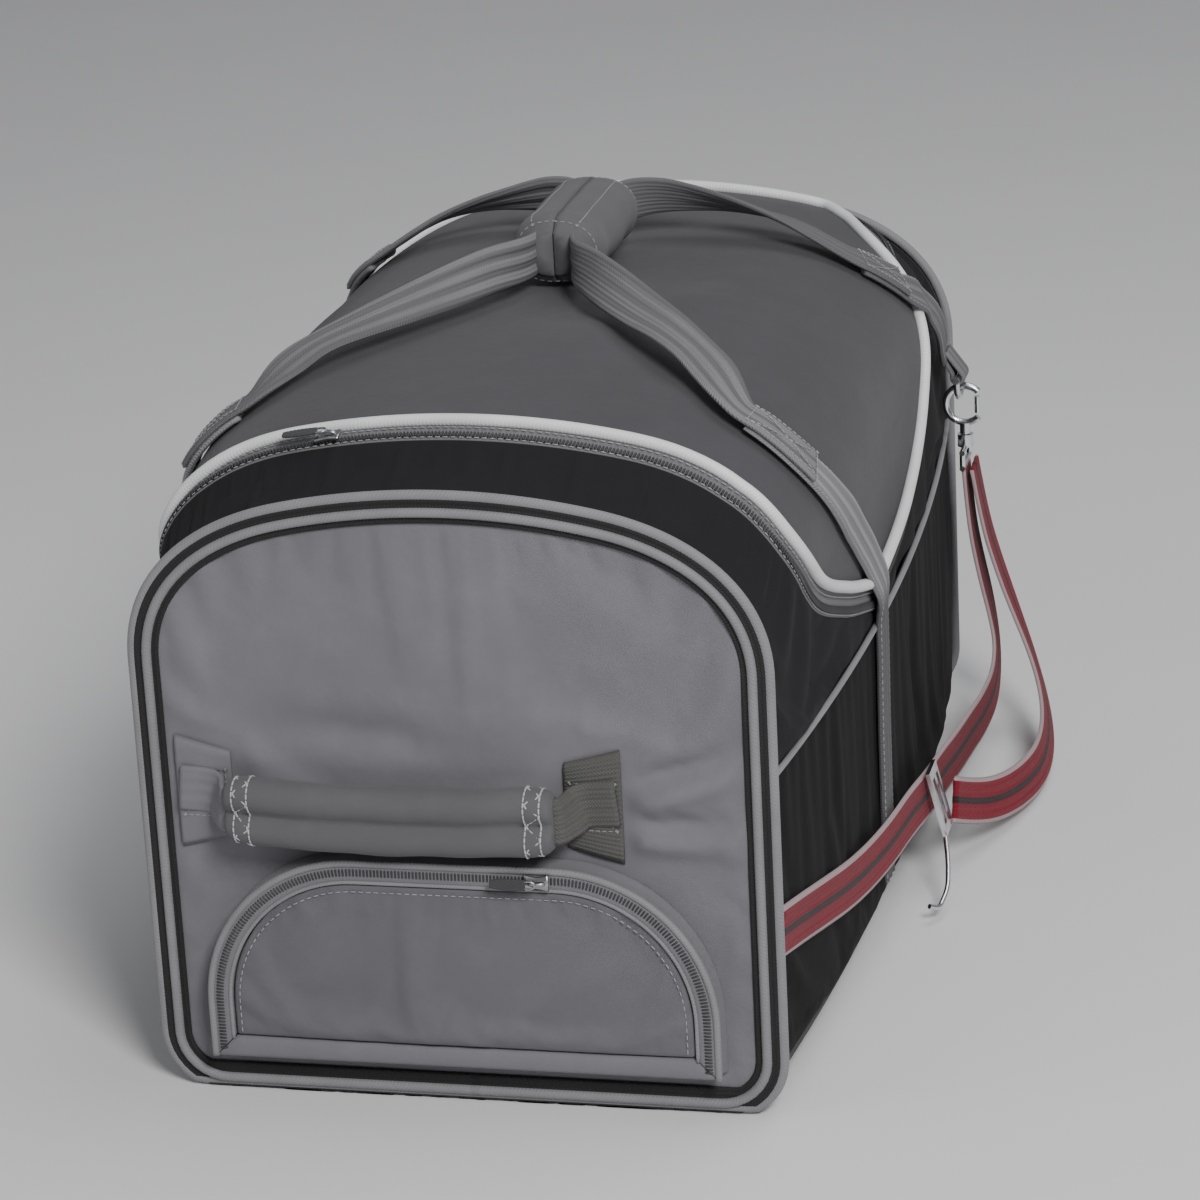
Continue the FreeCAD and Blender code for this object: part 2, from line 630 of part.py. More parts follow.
hook_r = size("hook_radius")
hook_x = ring_x + size("hook_out")
hook_z = ring_z - size("hook_drop")
hook_wire = size("hook_wire")
upright = FreeCAD.Rotation(X_AXIS, 90)
bow_hook = doc.addObject("Part::Torus", "hook_bow")
bind(bow_hook, Radius1=cell("hook_radius"), Radius2=cell("hook_wire"))
bow_hook.Angle3 = 270
open_side = FreeCAD.Rotation(Z_AXIS, 45)
bow_hook.Placement = FreeCAD.Placement(Vec(hook_x, ring_y, hook_z), upright.multiply(open_side))
neck_top = hook_z - hook_r
neck = bound_cylinder("hook_neck", cell("neck_radius"), cell("neck_long"),
                      Vec(hook_x, ring_y, neck_top - size("neck_long")))
fused("snap_hook", [bow_hook, neck])

pivot_reach = hook_r * math.cos(math.radians(45))
gate_inset = size("gate_inset")
gate_start = Vec(hook_x + pivot_reach - size("gate_shift"), ring_y, hook_z - pivot_reach + gate_inset)
gate_long = 2 * (pivot_reach - gate_inset)
gate = doc.addObject("Part::Cylinder", "hook_gate")
bind(gate, Radius=cell("gate_wire"))
gate.Height = gate_long
place(gate, gate_start)
keep("hook_gate", gate)

barrel_top = neck_top - size("neck_long") - clearance
barrel = bound_cylinder("swivel_barrel", cell("barrel_radius"), cell("barrel_long"),
                        Vec(hook_x, ring_y, barrel_top - size("barrel_long")))
eye_top = barrel_top - size("barrel_long")
eye_pieces = []
eye_wire = size("eye_wire")
eye_half = size("eye_wide") / 2
eye_low = eye_top - size("eye_high") + eye_wire
for name, z in (("eye_top_bar", eye_top), ("eye_low_bar", eye_low)):
    eye_pieces.append(bound_cylinder(name, cell("eye_wire"), cell("eye_wide"),
                                     Vec(hook_x, ring_y + eye_half, z), X_AXIS, 90))
for name, sign in (("eye_near_post", -1), ("eye_far_post", 1)):
    eye_pieces.append(bound_cylinder(name, cell("eye_wire"), "%s-%s" % (cell("eye_high"), cell("eye_wire")),
                                     Vec(hook_x, ring_y + sign * (eye_half - eye_wire), eye_low)))
fused("swivel_eye", [barrel] + eye_pieces)
strap_start_z = eye_low - eye_wire


# ---------------------------------------------------------------- shoulder strap
def rounded_route(points):
    """Straight runs joined by tangent arcs as large as the runs allow, and the arcs' radii."""
    edges = []
    radii = []
    start = points[0]
    for i in range(1, len(points) - 1):
        before, at, after = points[i - 1], points[i], points[i + 1]
        into = (at - before)
        out = (after - at)
        trim = ARC_SHARE * min(into.Length, out.Length)
        turn = into.getAngle(out)
        radius = trim / math.tan(turn / 2)
        radii.append(round(radius, 1))
        into.normalize()
        out.normalize()
        first = at - into * trim
        last = at + out * trim
        bisector = (out - into).normalize()
        middle = at + bisector * (radius / math.cos(turn / 2) - radius)
        edges.append(Part.LineSegment(start, first).toShape())
        edges.append(Part.Arc(first, middle, last).toShape())
        start = last
    edges.append(Part.LineSegment(start, points[-1]).toShape())
    return Part.Wire(edges), radii


def strap_run(name, route):
    """One stretch of strap webbing, standing on edge along its route."""
    points = [Vec(*p) for p in route]
    wire_path, radii = rounded_route(points)
    run = (points[1] - points[0]).normalize()
    across = (Y_AXIS - run * run.dot(Y_AXIS)).normalize()
    normal = run.cross(across)
    profile = rectangle(points[0], across, normal, size("strap_wide"), size("strap_thick"))
    sweep = Part.BRepOffsetAPI.MakePipeShell(wire_path)
    sweep.setBiNormalMode(X_AXIS)
    sweep.add(profile)
    sweep.build()
    sweep.makeSolid()
    shape = sweep.shape()
    expected = size("strap_wide") * size("strap_thick") * wire_path.Length
    print(name, "length", round(wire_path.Length), "radii", radii, "volume ratio",
          round(shape.Volume / expected, 3))
    return feature(name, shape)


strap_run("strap_webbing", [(*STRAP_START, strap_start_z)] + STRAP_ROUTE)
strap_run("strap_slack", [(*SLACK_START, strap_start_z)] + SLACK_ROUTE)

# Tri-glide slider where the slack stretch joins the strap, and the wire clip that hangs from it.
glide_frame = FreeCAD.Placement(GLIDE_AT, FreeCAD.Rotation(Y_AXIS, GLIDE_TILT))
glide_plate = plate("glide_plate", cell("glide_wide"), cell("glide_high"), cell("glide_thick"), glide_frame)
glide_slots = []
slot_long = size("strap_wide") + 2 * clearance
for sign in (-1, 1):
    slot = doc.addObject("Part::Box", "glide_slot_%d" % (sign + 1))
    bind(slot, Width=cell("glide_slot"), Height=cell("glide_thick") + "*3")
    slot.Length = slot_long
    slot_y = sign * size("glide_slot_out") - size("glide_slot") / 2
    corner = Vec(-slot_long / 2, slot_y, -size("glide_thick"))
    slot.Placement = glide_frame.multiply(FreeCAD.Placement(corner, FreeCAD.Rotation()))
    glide_slots.append(slot)
both_slots = doc.addObject("Part::MultiFuse", "glide_slots")
both_slots.Shapes = glide_slots
cut("strap_glide", glide_plate, both_slots)

clip_line, _ = rounded_route(CLIP_ROUTE)
clip_circle = Part.Circle(CLIP_ROUTE[0], CLIP_ROUTE[1] - CLIP_ROUTE[0], size("clip_wire")).toShape()
feature("strap_clip", clip_line.makePipeShell([Part.Wire(clip_circle)], True, False))


# ---------------------------------------------------------------- checks and export
doc.recompute()
for obj in doc.Objects:
    if "Invalid" in obj.State or "Error" in obj.State:
        raise RuntimeError("failed object: %s %s" % (obj.Label, obj.State))
for name, obj in parts.items():
    shape = obj.Shape
    if shape.isNull() or not shape.isValid():
        raise RuntimeError("bad shape: " + name)
    if not shape.Solids:
        raise RuntimeError("no solid: " + name)
os.makedirs("parts", exist_ok=True)
for name, obj in parts.items():
    obj.Shape.exportStep(os.path.join("parts", name + ".step"))
print(len(parts), "sub-parts written")
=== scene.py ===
import json
import math

import bmesh
import bpy
import numpy as np
from bpy.props import FloatProperty, FloatVectorProperty, PointerProperty
from mathutils import Matrix, Vector


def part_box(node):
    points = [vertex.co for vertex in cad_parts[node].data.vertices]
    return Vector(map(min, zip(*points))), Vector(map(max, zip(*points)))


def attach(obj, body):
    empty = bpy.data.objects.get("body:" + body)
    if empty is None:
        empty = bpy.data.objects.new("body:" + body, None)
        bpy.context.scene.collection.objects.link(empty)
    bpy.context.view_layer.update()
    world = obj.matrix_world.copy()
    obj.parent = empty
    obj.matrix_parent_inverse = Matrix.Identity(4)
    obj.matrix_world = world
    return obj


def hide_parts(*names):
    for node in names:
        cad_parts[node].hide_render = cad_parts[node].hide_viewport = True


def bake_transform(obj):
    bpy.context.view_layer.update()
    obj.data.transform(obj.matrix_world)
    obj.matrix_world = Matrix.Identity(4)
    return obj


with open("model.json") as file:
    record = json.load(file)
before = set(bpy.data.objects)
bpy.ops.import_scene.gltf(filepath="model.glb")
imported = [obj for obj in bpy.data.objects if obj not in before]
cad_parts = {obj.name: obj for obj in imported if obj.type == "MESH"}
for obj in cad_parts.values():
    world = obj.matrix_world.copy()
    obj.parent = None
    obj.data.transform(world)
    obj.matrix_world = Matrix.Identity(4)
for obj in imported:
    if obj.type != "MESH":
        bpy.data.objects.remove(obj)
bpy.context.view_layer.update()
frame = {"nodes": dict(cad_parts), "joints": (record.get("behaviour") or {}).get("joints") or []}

bl_info = {
    "name": "Sports duffel",
    "version": (1, 0, 0),
    "blender": (4, 5, 0),
    "location": "View3D > Sidebar > Duffel",
    "description": "Builds the cloth, webbing, zips and stage of a short sports duffel",
    "category": "Object",
}

NODES = frame["nodes"]
SIDES = {"right": 1, "left": -1}
ENDS = {"front": -1, "rear": 1}

# The bag's outline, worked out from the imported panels. Metres throughout.
END_LO, END_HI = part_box("end_panel_front")
BAND_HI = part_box("centre_band")[1]
HALF_LONG = -END_LO.y
SIDE_POWER = 2
CROWN_POWER = 5
MID_HALF = BAND_HI.x
MID_HIGH = BAND_HI.z


def fullness(y, power):
    """How far the bag has filled out at y: 0 at its ends, 1 in the middle."""
    return 1 - np.abs(y / HALF_LONG) ** power


def at_the_end(inner, middle, power):
    """A size at the very end, from the same size at the end panel's inner face and in the middle."""
    full = fullness(END_HI.y, power)
    return float((inner - middle * full) / (1 - full))


END_HALF = at_the_end(END_HI.x, MID_HALF, SIDE_POWER)
END_HIGH = at_the_end(END_HI.z, MID_HIGH, CROWN_POWER)
SHOULDER = 0.082
CROWN_SAG = 0.009
BASE_CORNER = 0.032
SEAM_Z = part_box("side_panel_right")[1].z
BASE_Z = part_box("side_panel_right")[0].z
HOOD_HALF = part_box("front_hood")[1].x + 0.0006
TAPE = 0.014

# The two arcs of the centre band in side view: (y, z, and the way out of the band).
TIP = (-0.075, 0.211)
FRONT_ARC = [(-0.252, 0.325, -1, 0), (-0.246, 0.296, -0.95, -0.3), (-0.214, 0.262, -0.6, -0.8),
             (-0.150, 0.234, -0.35, -0.94), (TIP[0], TIP[1], -0.1, -1)]
REAR_ARC = [(0.245, 0.347, 1, 0), (0.222, 0.343, 0.3, -0.95), (0.186, 0.335, 0.4, -0.9),
            (0.142, 0.290, 0.72, -0.69), (0.106, 0.253, 0.6, -0.8), (0.036, 0.226, 0.25, -0.97),
            (TIP[0], TIP[1], -0.1, -1)]
ARCS = {"front": FRONT_ARC, "rear": REAR_ARC}

# Sewn webbing in side view, from each foot of a carry handle down over the skin.
FRONT_STRIP = [(-0.187, 0.352), (-0.191, 0.336), (-0.189, 0.321), (-0.169, 0.294), (-0.130, 0.262),
               (-0.092, 0.230), (-0.073, 0.200), (-0.073, 0.120), (-0.073, 0.034)]
REAR_STRIP = [(0.112, 0.3515), (0.122, 0.340), (0.150, 0.318), (0.205, 0.285), (0.251, 0.254)]
WEBBING = 0.026
WEBBING_THICK = 0.0024
STRAP_WIDE = 0.028
STRAP_THICK = 0.0022

# A direction is scaled down by this much to ride along a path without adding to its length.
FAINT = 1e-6

# How far from the ends the cloths are let in, the height that panels face away from, and the height that the
# skin's own direction is measured from.
END_SEAM = 0.003
HEART_Z = 0.17
CORE_Z = 0.16

# Pegs, as length, width and height: zip teeth and the thread of each kind of seam.
TOOTH = (0.0042, 0.0013, 0.0015)
SEAM_THREAD = (0.0026, 0.0007, 0.0006)
STRIP_THREAD = (0.0027, 0.0007, 0.0006)
WRAP_THREAD = (0.0028, 0.0007, 0.0006)
FOOT_THREAD = (0.0025, 0.0007, 0.0006)
PATCH_THREAD = (0.0024, 0.0006, 0.0006)
GRIP_THREAD = (0.0029, 0.0010, 0.0008)


# ---------------------------------------------------------------- user settings
def colour_prop(name, text, value):
    return FloatVectorProperty(name=name, description=text, subtype="COLOR", size=3, min=0, max=1,
                               default=value)


def size_prop(name, text, value):
    return FloatProperty(name=name, description=text, subtype="DISTANCE", unit="LENGTH", precision=5,
                         default=value)


class DuffelColours(bpy.types.PropertyGroup):
    """Colours of the bag's cloths, trims and strap"""
    end: colour_prop("End panels", "Cloth of the two end panels", (0.212, 0.209, 0.230))
    pocket: colour_prop("Pocket", "Cloth of the end pocket's cover", (0.158, 0.156, 0.172))
    band: colour_prop("Centre band", "Cloth of the band over the top", (0.082, 0.080, 0.090))
    hood: colour_prop("Hoods", "Cloth between the zips and the end panels", (0.0170, 0.0166, 0.0190))
    # The sides' colour is partly painted shade: dark cloth, made darker still to stand for the shade along
    # the bag's sides.
    side: colour_prop("Sides", "Cloth of the side panels", (0.0075, 0.0072, 0.0084))
    base: colour_prop("Base", "Cloth under the bag", (0.022, 0.022, 0.024))
    lining: colour_prop("Lining", "Cloth inside the bag", (0.030, 0.030, 0.033))
    piping: colour_prop("Grey piping", "Cords round the end panels", (0.250, 0.248, 0.265))
    white: colour_prop("Arc piping", "Cords along the two arcs", (0.860, 0.870, 0.890))
    webbing: colour_prop("Webbing", "Carry handles and sewn webbing", (0.235, 0.232, 0.246))
    patch: colour_prop("Patches", "Webbing patches of the grab handles", (0.120, 0.120, 0.113))
    padding: colour_prop("Padding", "Handle wrap and grab grips", (0.135, 0.133, 0.144))
    tape: colour_prop("Zip tape", "Woven tapes of the zips", (0.190, 0.190, 0.197))
    coil: colour_prop("Zip coil", "Nylon coils of the zips", (0.035, 0.035, 0.038))
    strap: colour_prop("Strap", "Body of the shoulder strap", (0.235, 0.004, 0.020))
    strap_edge: colour_prop("Strap edge", "Pale edges of the shoulder strap", (0.470, 0.370, 0.385))


class DuffelSizes(bpy.types.PropertyGroup):
    """Small sizes of the cloth and trims"""
    cloth: size_prop("Cloth thickness", "Thickness of the shown cloth", 0.0016)
    weave: size_prop("Weave pitch", "Distance between two yarns", 0.0011)
    cord: size_prop("Piping radius", "Radius of the white piping", 0.0034)
    tooth: size_prop("Tooth pitch", "Distance between two zip teeth", 0.0019)
    stitch: size_prop("Stitch pitch", "Distance between two stitches", 0.0042)
    fold: size_prop("Fold height", "Height of the largest soft folds", 0.0045)


def colours():
    return bpy.context.scene.duffel_colours


def sizes():
    return bpy.context.scene.duffel_sizes


# ---------------------------------------------------------------- shader maths
class Wire:
    """A node socket that adds Math nodes as Python works through an expression."""

    def __init__(self, shader, socket):
        self.shader = shader
        self.socket = socket

    def _math(self, operation, *terms):
        return self.shader.node("ShaderNodeMath", {"operation": operation}, terms)

    def __add__(self, other):
        return self._math("ADD", self, other)

    def __radd__(self, other):
        return self._math("ADD", other, self)

    def __sub__(self, other):
        return self._math("SUBTRACT", self, other)

    def __rsub__(self, other):
        return self._math("SUBTRACT", other, self)

    def __mul__(self, other):
        return self._math("MULTIPLY", self, other)

    def __rmul__(self, other):
        return self._math("MULTIPLY", other, self)

    def __abs__(self):
        return self._math("ABSOLUTE", self)

    def sine(self):
        return self._math("SINE", self)

    def fraction(self):
        return self._math("FRACT", self)

    def above(self, level):
        return self._math("GREATER_THAN", self, level)

    def clipped(self, low=0.0, high=1.0):
        return self.shader.node("ShaderNodeClamp", {}, [self, low, high])

    def part(self, axis):
        split = self.shader.node("ShaderNodeSeparateXYZ", {}, [self])
        return Wire(self.shader, split.socket.node.outputs[axis])


class Shader:
    """One material's node tree, with its Principled shader."""

    def __init__(self, name):
        self.material = bpy.data.materials.new(name)
        self.material.use_nodes = True
        self.tree = self.material.node_tree
        self.principled = self.tree.nodes["Principled BSDF"]

    def feed(self, socket, value):
        if isinstance(value, Wire):
            self.tree.links.new(value.socket, socket)
        elif value is not None:
            socket.default_value = value

    def node(self, kind, settings, inputs):
        """Adds a node: its settings first, then the values or links of its sockets."""
        node = self.tree.nodes.new(kind)
        for key, value in settings.items():
            setattr(node, key, value)
        pairs = inputs.items() if isinstance(inputs, dict) else enumerate(inputs)
        for key, value in pairs:
            self.feed(node.inputs[key], value)
        return Wire(self, next(o for o in node.outputs if o.enabled))

    def set(self, **sockets):
        for name, value in sockets.items():
            self.feed(self.principled.inputs[name.replace("_", " ")], value)
        return self

    def uv(self):
        return self.node("ShaderNodeUVMap", {"uv_map": "cloth"}, [])

    def place(self):
        return Wire(self, self.tree.nodes.new("ShaderNodeTexCoord").outputs["Object"])

    def noise(self, vector, scale, detail=3.0, rough=0.55):
        inputs = {"Vector": vector, "Scale": scale, "Detail": detail, "Roughness": rough}
        return self.node("ShaderNodeTexNoise", {}, inputs)

    def mix(self, mask, low, high):
        low = (*low, 1) if isinstance(low, tuple) else low
        high = (*high, 1) if isinstance(high, tuple) else high
        inputs = {"Factor": mask, 6: low, 7: high}
        return self.node("ShaderNodeMix", {"data_type": "RGBA"}, inputs)

    def bump(self, height, strength, distance):
        inputs = {"Strength": strength, "Distance": distance, "Height": height}
        return self.node("ShaderNodeBump", {}, inputs)


def shade(colour, factor):
    """A lighter or darker tone of a colour."""
    return tuple(min(1.0, c * factor) for c in colour)


materials = {}


def kept(name, make):
    """A material is made once and used by every piece with its finish."""
    if name not in materials:
        materials[name] = make(name)
    return materials[name]


def cloth(name, colour, pitch_scale=1.0, weave_depth=1.0, wear=0.25, roughness=0.80, sheen=0.08):
    """Coated woven polyester: yarns, faint creases, dust and rubbed high spots."""
    s = Shader(name)
    colour = tuple(colour)
    uv = s.uv()
    turns = 2 * math.pi / (sizes().weave * pitch_scale)
    warp = (uv.part("X") * turns).sine()
    weft = (uv.part("Y") * turns).sine()
    yarns = warp * weft * 0.5 + 0.5
    place = s.place()
    clouds = s.noise(place, 9.0, 4.0)
    grain = s.noise(place, 260.0, 2.0)
    crumple = s.noise(place, 46.0, 5.0, 0.6)
    dust = (clouds * 1.6 - 0.55).clipped()
    rubbed = (crumple * 2.4 - 1.15).clipped()
    base = s.mix(dust, shade(colour, 0.86), shade(colour, 1.10))
    base = s.mix(rubbed * wear, base, shade(colour, 1.45))
    # Painted shade: the cloth is darker where the weave's bump is low, between the yarns.
    base = s.mix((1 - yarns) * 0.22, base, shade(colour, 0.55))
    height = yarns * (0.30 * weave_depth) + crumple * 1.4 + grain * 0.25
    s.set(Base_Color=base, Roughness=(clouds * 0.16 + grain * 0.06 + (roughness - 0.11)).clipped(),
          Sheen_Weight=sheen, Sheen_Roughness=0.5, Specular_IOR_Level=0.22,
          Normal=s.bump(height, 0.55, 0.0011))
    return s.material


# Webbing's weave: the pitch of its ribs, of its herringbone and of its yarns.
RIB = 0.0026
HERRINGBONE = 0.0052
YARN = 0.0018


def webbing_cloth(name, colour, edge=None, stripe=None, wide=WEBBING, bands=0, painted_shade_below=None):
    """Woven webbing: a herringbone of fine yarns, with lengthwise bands, coloured edges or a centre line, and
    painted shade below a given height.
    """
    s = Shader(name)
    colour = tuple(colour)
    uv = s.uv()
    across = uv.part("X")
    along = uv.part("Y")
    ribs = (across * (2 * math.pi / RIB)).sine() * 0.5 + 0.5
    zigzag = along + abs((across * (1 / HERRINGBONE)).fraction() - 0.5) * HERRINGBONE
    yarns = (zigzag * (2 * math.pi / YARN)).sine() * 0.5 + 0.5
    fuzz = s.noise(s.place(), 420.0, 2.0)
    clouds = s.noise(s.place(), 14.0, 3.0)
    base = s.mix((clouds * 1.5 - 0.5).clipped(), shade(colour, 0.82), shade(colour, 1.12))
    if bands:
        band = (across * (2 * math.pi * bands / wide)).sine() * 0.5 + 0.5
        base = s.mix((band * 1.7 - 0.35).clipped(), shade(colour, 0.55), base)
    if painted_shade_below is not None:
        # Painted shade: below this height the webbing is darkened to stand for the shade over the strip's
        # lower part.
        high = ((s.place().part("Z") - painted_shade_below) * 60 + 0.5).clipped()
        base = s.mix(high, shade(colour, 0.22), base)
    if edge is not None:
        off = abs(across - wide / 2)
        base = s.mix(off.above(wide * 0.40), base, tuple(edge))
    if stripe is not None:
        off = abs(across - wide / 2)
        base = s.mix(1 - off.above(wide * 0.07), base, tuple(stripe))
    # Painted shade: the webbing is darker where its yarn bump is low, between the yarns.
    base = s.mix((1 - yarns) * 0.30, base, shade(colour, 0.45))
    height = yarns * 0.6 + ribs * 0.7 + fuzz * 0.3
    s.set(Base_Color=base, Roughness=(fuzz * 0.2 + 0.62).clipped(), Sheen_Weight=0.06,
          Specular_IOR_Level=0.28, Normal=s.bump(height, 0.6, 0.0008))
    return s.material


def cord_cloth(name, colour, roughness=0.6, twist=0.0021):
    """Piping covered in thin cloth, with a slight spiral of yarns and rubbed spots."""
    s = Shader(name)
    colour = tuple(colour)
    uv = s.uv()
    spiral = ((uv.part("Y") + uv.part("X") * 0.6) * (2 * math.pi / twist)).sine() * 0.5 + 0.5
    clouds = s.noise(s.place(), 30.0, 4.0)
    base = s.mix((clouds * 2 - 0.7).clipped(), shade(colour, 0.84), shade(colour, 1.06))
    # Painted shade: the cord is darker in the grooves of its yarn spiral, where its bump is low.
    base = s.mix((1 - spiral) * 0.18, base, shade(colour, 0.6))
    s.set(Base_Color=base, Roughness=(clouds * 0.2 + roughness - 0.1).clipped(),
          Sheen_Weight=0.1, Normal=s.bump(spiral * 0.5 + clouds * 0.6, 0.4, 0.0006))
    return s.material


def nylon(name, colour, roughness=0.42):
    """Moulded nylon of zip teeth and thread."""
    s = Shader(name)
    colour = tuple(colour)
    grain = s.noise(s.place(), 700.0, 2.0)
    clouds = s.noise(s.place(), 40.0, 3.0)
    base = s.mix((clouds * 2 - 0.6).clipped(), shade(colour, 0.8), shade(colour, 1.25))
    s.set(Base_Color=base, Roughness=(grain * 0.2 + roughness - 0.1).clipped(),
          Specular_IOR_Level=0.5, Normal=s.bump(grain, 0.25, 0.0003))
    return s.material


def plated(name, colour, roughness=0.16):
    """Bright plated metal with fine scratches and duller handled spots."""
    s = Shader(name)
    colour = tuple(colour)
    place = s.place()
    stretched = s.node("ShaderNodeMapping", {}, {"Vector": place, "Scale": (1.0, 1.0, 9.0)})
    scratches = s.noise(stretched, 380.0, 4.0, 0.7)
    smears = s.noise(place, 60.0, 3.0)
    worn = (smears * 2.4 - 1.2).clipped()
    base = s.mix(worn, colour, shade(colour, 0.72))
    rough = (worn * 0.22 + scratches * 0.12 + roughness - 0.05).clipped()
    s.set(Base_Color=base, Metallic=1.0, Roughness=rough, Normal=s.bump(scratches, 0.12, 0.0002))
    return s.material


def board(name):
    """Pressed fibre board."""
    s = Shader(name)
    speck = s.noise(s.place(), 240.0, 4.0)
    base = s.mix((speck * 2 - 0.6).clipped(), (0.030, 0.029, 0.028), (0.060, 0.058, 0.055))
    s.set(Base_Color=base, Roughness=(speck * 0.2 + 0.65).clipped(), Normal=s.bump(speck, 0.3, 0.0005))
    return s.material


# ---------------------------------------------------------------- the bag's surface
def bezier(t, *poles):
    a, b, c, d = poles
    u = 1 - t
    return u ** 3 * a + 3 * u * u * t * b + 3 * u * t * t * c + t ** 3 * d


def profile(y, q):
    """A point of the bag's skin at y. q is 0 at the crown, 1 where the shoulder starts, 2 at its end,
    3 above the base corner, 4 below it and 5 under the middle; it is negative on the left."""
    y, q = np.broadcast_arrays(np.asarray(y, float), np.asarray(q, float))
    a = np.abs(q)
    w = END_HALF + (MID_HALF - END_HALF) * fullness(y, SIDE_POWER)
    h = END_HIGH + (MID_HIGH - END_HIGH) * fullness(y, CROWN_POWER)
    flat = w - SHOULDER
    drop = h - CROWN_SAG
    side_top = drop - SHOULDER
    radius = (flat ** 2 + CROWN_SAG ** 2) / (2 * CROWN_SAG)
    lean = np.arcsin(flat / radius)
    pull = 0.5523 * SHOULDER
    soft = 0.5523 * BASE_CORNER
    t = [np.clip(a - i, 0, 1) for i in range(5)]
    xs = [radius * np.sin(t[0] * lean),
          bezier(t[1], flat, flat + pull * np.cos(lean), w, w),
          w,
          bezier(t[3], w, w, w - BASE_CORNER + soft, w - BASE_CORNER),
          (w - BASE_CORNER) * (1 - t[4])]
    zs = [h - radius * (1 - np.cos(t[0] * lean)),
          bezier(t[1], drop, drop - pull * np.sin(lean), side_top + pull, side_top),
          side_top + (BASE_CORNER - side_top) * t[2],
          bezier(t[3], BASE_CORNER, BASE_CORNER - soft, 0, 0),
          0 * w]
    which = [a < 1, a < 2, a < 3, a < 4]
    x = np.select(which, xs[:4], xs[4]) * np.where(q < 0, -1, 1)
    z = np.select(which, zs[:4], zs[4])
    return np.stack([x, y, z], -1)


def solve_q(y, wanted, axis, low, high):
    """q at which the skin's x (rising) or z (falling) has the wanted value, by halving."""
    y, wanted = np.broadcast_arrays(np.asarray(y, float), np.asarray(wanted, float))
    lo = np.full(y.shape, float(low))
    hi = np.full(y.shape, float(high))
    for _ in range(40):
        middle = (lo + hi) / 2
        value = profile(y, middle)[..., axis]
        too_far = value > wanted if axis == 0 else value < wanted
        hi = np.where(too_far, middle, hi)
        lo = np.where(too_far, lo, middle)
    return (lo + hi) / 2


def q_at_height(y, z):
    """q on the right side at y where the skin is z high."""
    return solve_q(y, z, 2, 0, 4)


def q_at_side(y, x):
    """q over the crown at y where the skin is x out from the middle."""
    return solve_q(y, x, 0, 0, 2)


def skin_normal(y, q):
    """The way out of the skin, from two short steps along it and round it."""
    step_y = 1e-4
    step_q = 1e-3
    y, q = np.broadcast_arrays(np.asarray(y, float), np.asarray(q, float))
    along = profile(y + step_y, q) - profile(y - step_y, q)
    round_it = profile(y, q + step_q) - profile(y, q - step_q)
    n = -np.cross(along, round_it)
    n /= np.maximum(np.linalg.norm(n, axis=-1, keepdims=True), 1e-12)
    outward = profile(y, q) * np.array([1, 0, 1]) - np.array([0, 0, CORE_Z])
    flip = np.sign((n * outward).sum(-1, keepdims=True))
    return n * np.where(flip == 0, 1, flip)


def on_skin(y, q, lift=0.0):
    """A point of the skin, or one that far out from it."""
    return profile(y, q) + skin_normal(y, q) * lift


def smooth_line(points, count):
    """Centripetal curve through points, sampled evenly in its own parameter."""
    p = np.array(points, float)
    p = np.vstack([2 * p[0] - p[1], p, 2 * p[-1] - p[-2]])
    t = np.concatenate([[0], np.cumsum(np.linalg.norm(np.diff(p, axis=0), axis=1) ** 0.5)])
    out = []
    for s in np.linspace(t[1], t[-2], count):
        i = int(np.clip(np.searchsorted(t, s) - 1, 1, len(t) - 3))
        t0, t1, t2, t3 = t[i - 1:i + 3]
        p0, p1, p2, p3 = p[i - 1:i + 3]
        a1 = (t1 - s) / (t1 - t0) * p0 + (s - t0) / (t1 - t0) * p1
        a2 = (t2 - s) / (t2 - t1) * p1 + (s - t1) / (t2 - t1) * p2
        a3 = (t3 - s) / (t3 - t2) * p2 + (s - t2) / (t3 - t2) * p3
        b1 = (t2 - s) / (t2 - t0) * a1 + (s - t0) / (t2 - t0) * a2
        b2 = (t3 - s) / (t3 - t1) * a2 + (s - t1) / (t3 - t1) * a3
        out.append((t2 - s) / (t2 - t1) * b1 + (s - t1) / (t2 - t1) * b2)
    return np.array(out)


def evenly(points, step=None, count=None):
    """Points spaced evenly along a polyline."""
    points = np.asarray(points, float)
    run = run_of(points)
    count = count or max(2, int(round(run[-1] / step)) + 1)
    at = np.linspace(0, run[-1], count)
    return np.stack([np.interp(at, run, points[:, k]) for k in range(points.shape[1])], -1)


def half_arc(end, grow, crown_points=24, side_points=60):
    """(y, q) along one arc from the crown down the right side to the tip, moved out of the band by grow."""
    arc = ARCS[end]
    moved = [(y + grow * ny, z + grow * nz) for y, z, ny, nz in arc]
    y0, z0 = moved[0]
    q0 = float(q_at_height(y0, z0))
    over = np.stack([np.full(crown_points, y0), np.linspace(0, q0, crown_points)], -1)
    side = smooth_line(moved, side_points)
    down = np.stack([side[:, 0], q_at_height(side[:, 0], side[:, 1])], -1)
    return np.vstack([over, down[1:]])


def whole_arc(end, grow):
    """(y, q) along one arc from its left tip over the crown to its right tip."""
    right = half_arc(end, grow)
    left = right[::-1] * np.array([1, -1])
    return np.vstack([left[:-1], right])


# ---------------------------------------------------------------- mesh helpers
def mesh_object(name, verts, faces, uvs, material):
    mesh = bpy.data.meshes.new(name)
    mesh.from_pydata([tuple(v) for v in np.asarray(verts, float)], [], [tuple(map(int, f)) for f in faces])
    layer = mesh.uv_layers.new(name="cloth")
    corner = np.zeros(len(mesh.loops), np.int32)
    mesh.loops.foreach_get("vertex_index", corner)
    layer.data.foreach_set("uv", np.asarray(uvs, np.float32)[corner].ravel())
    mesh.polygons.foreach_set("use_smooth", [True] * len(mesh.polygons))
    mesh.materials.append(material)
    return placed(name, mesh)


def placed(name, data):
    """A new object in the scene."""
    obj = bpy.data.objects.new(name, data)
    bpy.context.scene.collection.objects.link(obj)
    return obj


